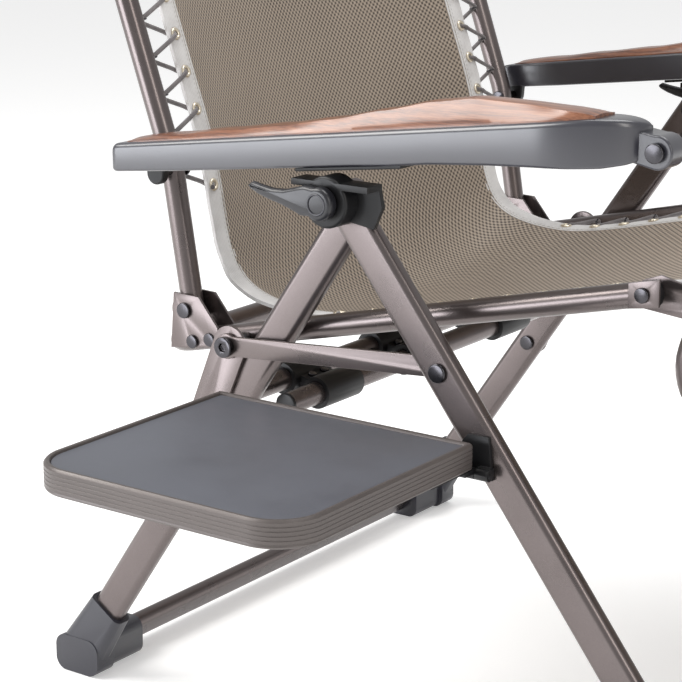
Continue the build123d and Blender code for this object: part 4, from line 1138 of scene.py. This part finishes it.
# end bindings across the top and the foot, each laced to its crossbar
def end_band(name, row, body, bar, count, direction):
    x, z = ROWS[row].x, ROWS[row].y
    nx, nz = row_normal(row)
    t = Vector((nz, 0, -nx)) * direction
    n = Vector((nx, 0, nz))
    pts = SHEET[row]
    prof = [(-0.0120, 0.0016), (0.0035, 0.0016), (0.0050, 0.0), (0.0035, -0.0016), (-0.0120, -0.0016)]
    verts, faces, uvs = [], [], []
    m = len(prof)
    cols = list(range(0, NC + 1))
    ys = [-0.2385 + 0.477 * k / 60 for k in range(61)]
    for k, yv in enumerate(ys):
        v = min(max(yv / (HALF / 1000.0), -1), 1)
        jf = (v + 1) / 2 * NC
        j0 = min(int(jf), NC - 1)
        fr = jf - j0
        c = Vector(pts[j0]) * (1 - fr) + Vector(pts[j0 + 1]) * fr
        c.y = yv + 0.1095
        for a, b in prof:
            verts.append(c + t * a + n * b)
            uvs.append((yv + 0.5, a + b))
    for k in range(len(ys) - 1):
        for q in range(m):
            q2 = (q + 1) % m
            faces.append((k * m + q, k * m + q2, (k + 1) * m + q2, (k + 1) * m + q))
    faces.append(tuple(range(m)))
    faces.append(tuple((len(ys) - 1) * m + q for q in reversed(range(m))))
    o = obj_from(name, verts, faces, "binding", uvs, angle=40)
    bm = bmesh.new(); bm.from_mesh(o.data); bmesh.ops.recalc_face_normals(bm, faces=bm.faces); bm.to_mesh(o.data); bm.free()
    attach(o, body)
    cs, path = [], []
    barc = Vector(W(bar[0], 0, bar[1]))
    R_ = (TUBE_R + 2.1) / 1000.0
    mid = SHEET[row][NC // 2]
    for k in range(count):
        yv = -0.19 + 0.38 * k / (count - 1)
        v = yv / (HALF / 1000.0)
        jf = (v + 1) / 2 * NC
        j0 = min(int(jf), NC - 1)
        fr = jf - j0
        c = Vector(pts[j0]) * (1 - fr) + Vector(pts[j0 + 1]) * fr
        c.y = yv + 0.1095
        e = c - t * 0.004
        for up in (0.0022, -0.0022):
            cs.append((e + n * up, n, t, Vector((0, 1, 0))))
        path.append(e + n * 0.0006)
        if k < count - 1:
            dy = 0.38 / (count - 1)
            for q, (aa, bb) in enumerate(((-0.35, 1.0), (0.75, 0.72), (1.0, 0.0), (0.75, -0.72), (-0.35, -1.0))):
                p = barc + t * R_ * aa + n * R_ * bb
                p.y = yv + 0.1095 + dy * (0.36 + 0.07 * q)
                path.append(p)
    e = torus_mesh(name + "_eyelets", cs, 0.0037, 0.0014, "brass")
    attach(e, body)
    l = sweep(name + "_lacing", smooth_path(path, 6), circle(0.0021, 10), "cord", angle=89)
    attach(l, body)


end_band("top_band", 0, "back_frame", (-404.0, 1046.0), 9, -1.0)
end_band("foot_band", NR - 1, "footrest", (565.0, 250.0), 9, 1.0)

# ------------------------------------------------------------------ headrest pillow
ub = Vector((-192.0, 0, 546.0)).normalized()
nb = Vector((ub.z, 0, -ub.x))
pc = Vector((-345.0, 0, 905.0))
NU, NV = 96, 40
verts, faces, uvs = [], [], []
Wd, Hd, Td = 186.0, 73.0, 50.0


def pillow_point(a, b, side):
    """a, b in -1..1 across and up; side +1 front, -1 back."""
    ex = math.copysign(abs(a) ** 0.92, a)
    ez = math.copysign(abs(b) ** 0.92, b)
    corner = (abs(a) ** 6 + abs(b) ** 6)
    shrink = 1 - 0.035 * corner * (abs(a * b) ** 2)
    x = ex * Wd * shrink
    z = ez * Hd * shrink
    full = max(0.0, (1 - abs(a) ** 3.2)) ** 0.55 * max(0.0, (1 - abs(b) ** 2.4)) ** 0.6
    wr = mnoise.noise(Vector((x * 0.018, z * 0.03, side * 3.1))) * 2.4 * full
    pucker = 1.1 * math.sin(x * 0.16) * (abs(b) ** 5) * (1 - abs(b) ** 14) + 0.9 * math.sin(z * 0.2) * abs(a) ** 8
    th = (Td * 0.62 * full + wr + pucker) if side > 0 else (Td * 0.30 * full)
    return x, z, side * max(th, 0.0)


def pillow_world(x, z, th):
    p = pc + ub * z + nb * (20.0 + th)
    return W(p.x, x, p.z)


idx = {}
for side in (1, -1):
    for i in range(NU + 1):
        for k in range(NV + 1):
            a, b = -1 + 2 * i / NU, -1 + 2 * k / NV
            x, z, th = pillow_point(a, b, side)
            idx[(side, i, k)] = len(verts)
            verts.append(pillow_world(x, z, th))
            uvs.append((x / 1000 + 0.5, z / 1000 + 0.5))
for side in (1, -1):
    for i in range(NU):
        for k in range(NV):
            q = (idx[(side, i, k)], idx[(side, i + 1, k)], idx[(side, i + 1, k + 1)], idx[(side, i, k + 1)])
            faces.append(q if side < 0 else q[::-1])
o = obj_from("headrest_pillow.v", verts, faces, "pillow", uvs, angle=89)
bm = bmesh.new()
bm.from_mesh(o.data)
bmesh.ops.remove_doubles(bm, verts=bm.verts, dist=1e-5)
bmesh.ops.recalc_face_normals(bm, faces=bm.faces)
bm.to_mesh(o.data)
bm.free()
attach(o, "back_frame")
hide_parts("headrest_pillow")
# piping round the pillow's seam
ringp = []
for i in range(0, NU + 1, 2):
    ringp.append(pillow_world(*pillow_point(-1 + 2 * i / NU, -1, 1)))
for k in range(2, NV + 1, 2):
    ringp.append(pillow_world(*pillow_point(1, -1 + 2 * k / NV, 1)))
for i in range(NU - 2, -1, -2):
    ringp.append(pillow_world(*pillow_point(-1 + 2 * i / NU, 1, 1)))
for k in range(NV - 2, -1, -2):
    ringp.append(pillow_world(*pillow_point(-1, -1 + 2 * k / NV, 1)))
o = sweep("pillow_piping", ringp, circle(0.0021, 10), "binding", angle=89)
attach(o, "back_frame")
# elastic bands that hold the pillow round the back of the sheet
for k, dz in ((1, 38.0), (2, -38.0)):
    path = []
    for q in range(41):
        v = -1 + q / 20.0
        y = v * 232.0
        nrow = min(range(0, r_back), key=lambda i: (ROWS[i].x - (pc.x + ub.x * dz)) ** 2 + (ROWS[i].y - (pc.z + ub.z * dz)) ** 2)
        jf = min(max((v * 232.0 / HALF + 1) / 2 * NC, 0), NC)
        j0 = min(int(jf), NC - 1)
        fr = jf - j0
        c = Vector(SHEET[nrow][j0]) * (1 - fr) + Vector(SHEET[nrow][j0 + 1]) * fr
        nx, nz = row_normal(nrow)
        c.y = y / 1000.0 + 0.1095
        path.append(c - Vector((nx, 0, nz)) * 0.0028)
    o = sweep(f"pillow_band_{k}", path, rrect(0.016, 0.0012, 0.0005, 2), "cord", x_dir=tuple(ub), angle=60)
    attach(o, "back_frame")

# ------------------------------------------------------------------ floor, light, camera
bpy.ops.mesh.primitive_plane_add(size=40, location=(0, 0, -0.0005))
floor = bpy.context.object
floor.name = "floor"
fm, fnt, fb = new_mat("floor", (0.92, 0.92, 0.92), 0.9)
fb.inputs["Emission Color"].default_value = (1, 1, 1, 1)
fb.inputs["Emission Strength"].default_value = 0.32
floor.data.materials.append(fm)

world = bpy.data.worlds.new("studio")
bpy.context.scene.world = world
world.use_nodes = True
world.node_tree.nodes["Background"].inputs["Color"].default_value = (1, 1, 1, 1)
world.node_tree.nodes["Background"].inputs["Strength"].default_value = 0.56


def area(name, loc, target, size, energy, color=(1, 1, 1)):
    d = bpy.data.lights.new(name, "AREA")
    d.shape = "RECTANGLE"
    d.size, d.size_y = size
    d.energy = energy
    d.color = color
    o = link(bpy.data.objects.new(name, d))
    o.location = loc
    o.rotation_mode = "QUATERNION"
    o.rotation_quaternion = (Vector(target) - Vector(loc)).to_track_quat("-Z", "Y")
    return o


area("key", (-1.8, -1.3, 2.5), (0, 0, 0.4), (1.5, 1.6), 62, (1.0, 0.985, 0.96))
area("side", (-2.2, -2.9, 0.55), (0, -0.2, 0.5), (2.2, 1.1), 52, (0.93, 0.95, 1.0))
area("fill", (2.6, -1.2, 1.7), (0, 0, 0.4), (0.7, 2.0), 20, (1.0, 0.96, 0.91))
area("top", (0.3, 0.5, 3.0), (0, 0, 0.3), (1.6, 1.6), 33.12)
bpy.context.scene.view_settings.view_transform = "Standard"
bpy.context.scene.view_settings.look = "None"
bpy.context.scene.view_settings.exposure = 0.0

cam_d = bpy.data.cameras.new("camera")
cam = link(bpy.data.objects.new("camera", cam_d))
cam_d.sensor_width = 36.0
cam_d.lens = 36.0 * 2093.5 / 682.0
cam_d.dof.use_dof = False
cam_d.clip_start, cam_d.clip_end = 0.05, 60.0
az, el, roll = -0.6201, 0.2592, 0.0016
fw = Vector((math.sin(az) * math.cos(el), math.cos(az) * math.cos(el), -math.sin(el)))
right = fw.cross(Vector((0, 0, 1))).normalized()
up = right.cross(fw)
r2 = right * math.cos(roll) + up * math.sin(roll)
u2 = up * math.cos(roll) - right * math.sin(roll)
rot = Matrix((r2, u2, -fw)).transposed()
cam.rotation_mode = "QUATERNION"
cam.rotation_quaternion = rot.to_quaternion()
cam.location = (0.9633 - 0.0805, -1.6670 + 0.1095, 0.8162)
bpy.context.scene.camera = cam

bpy.context.view_layer.update()
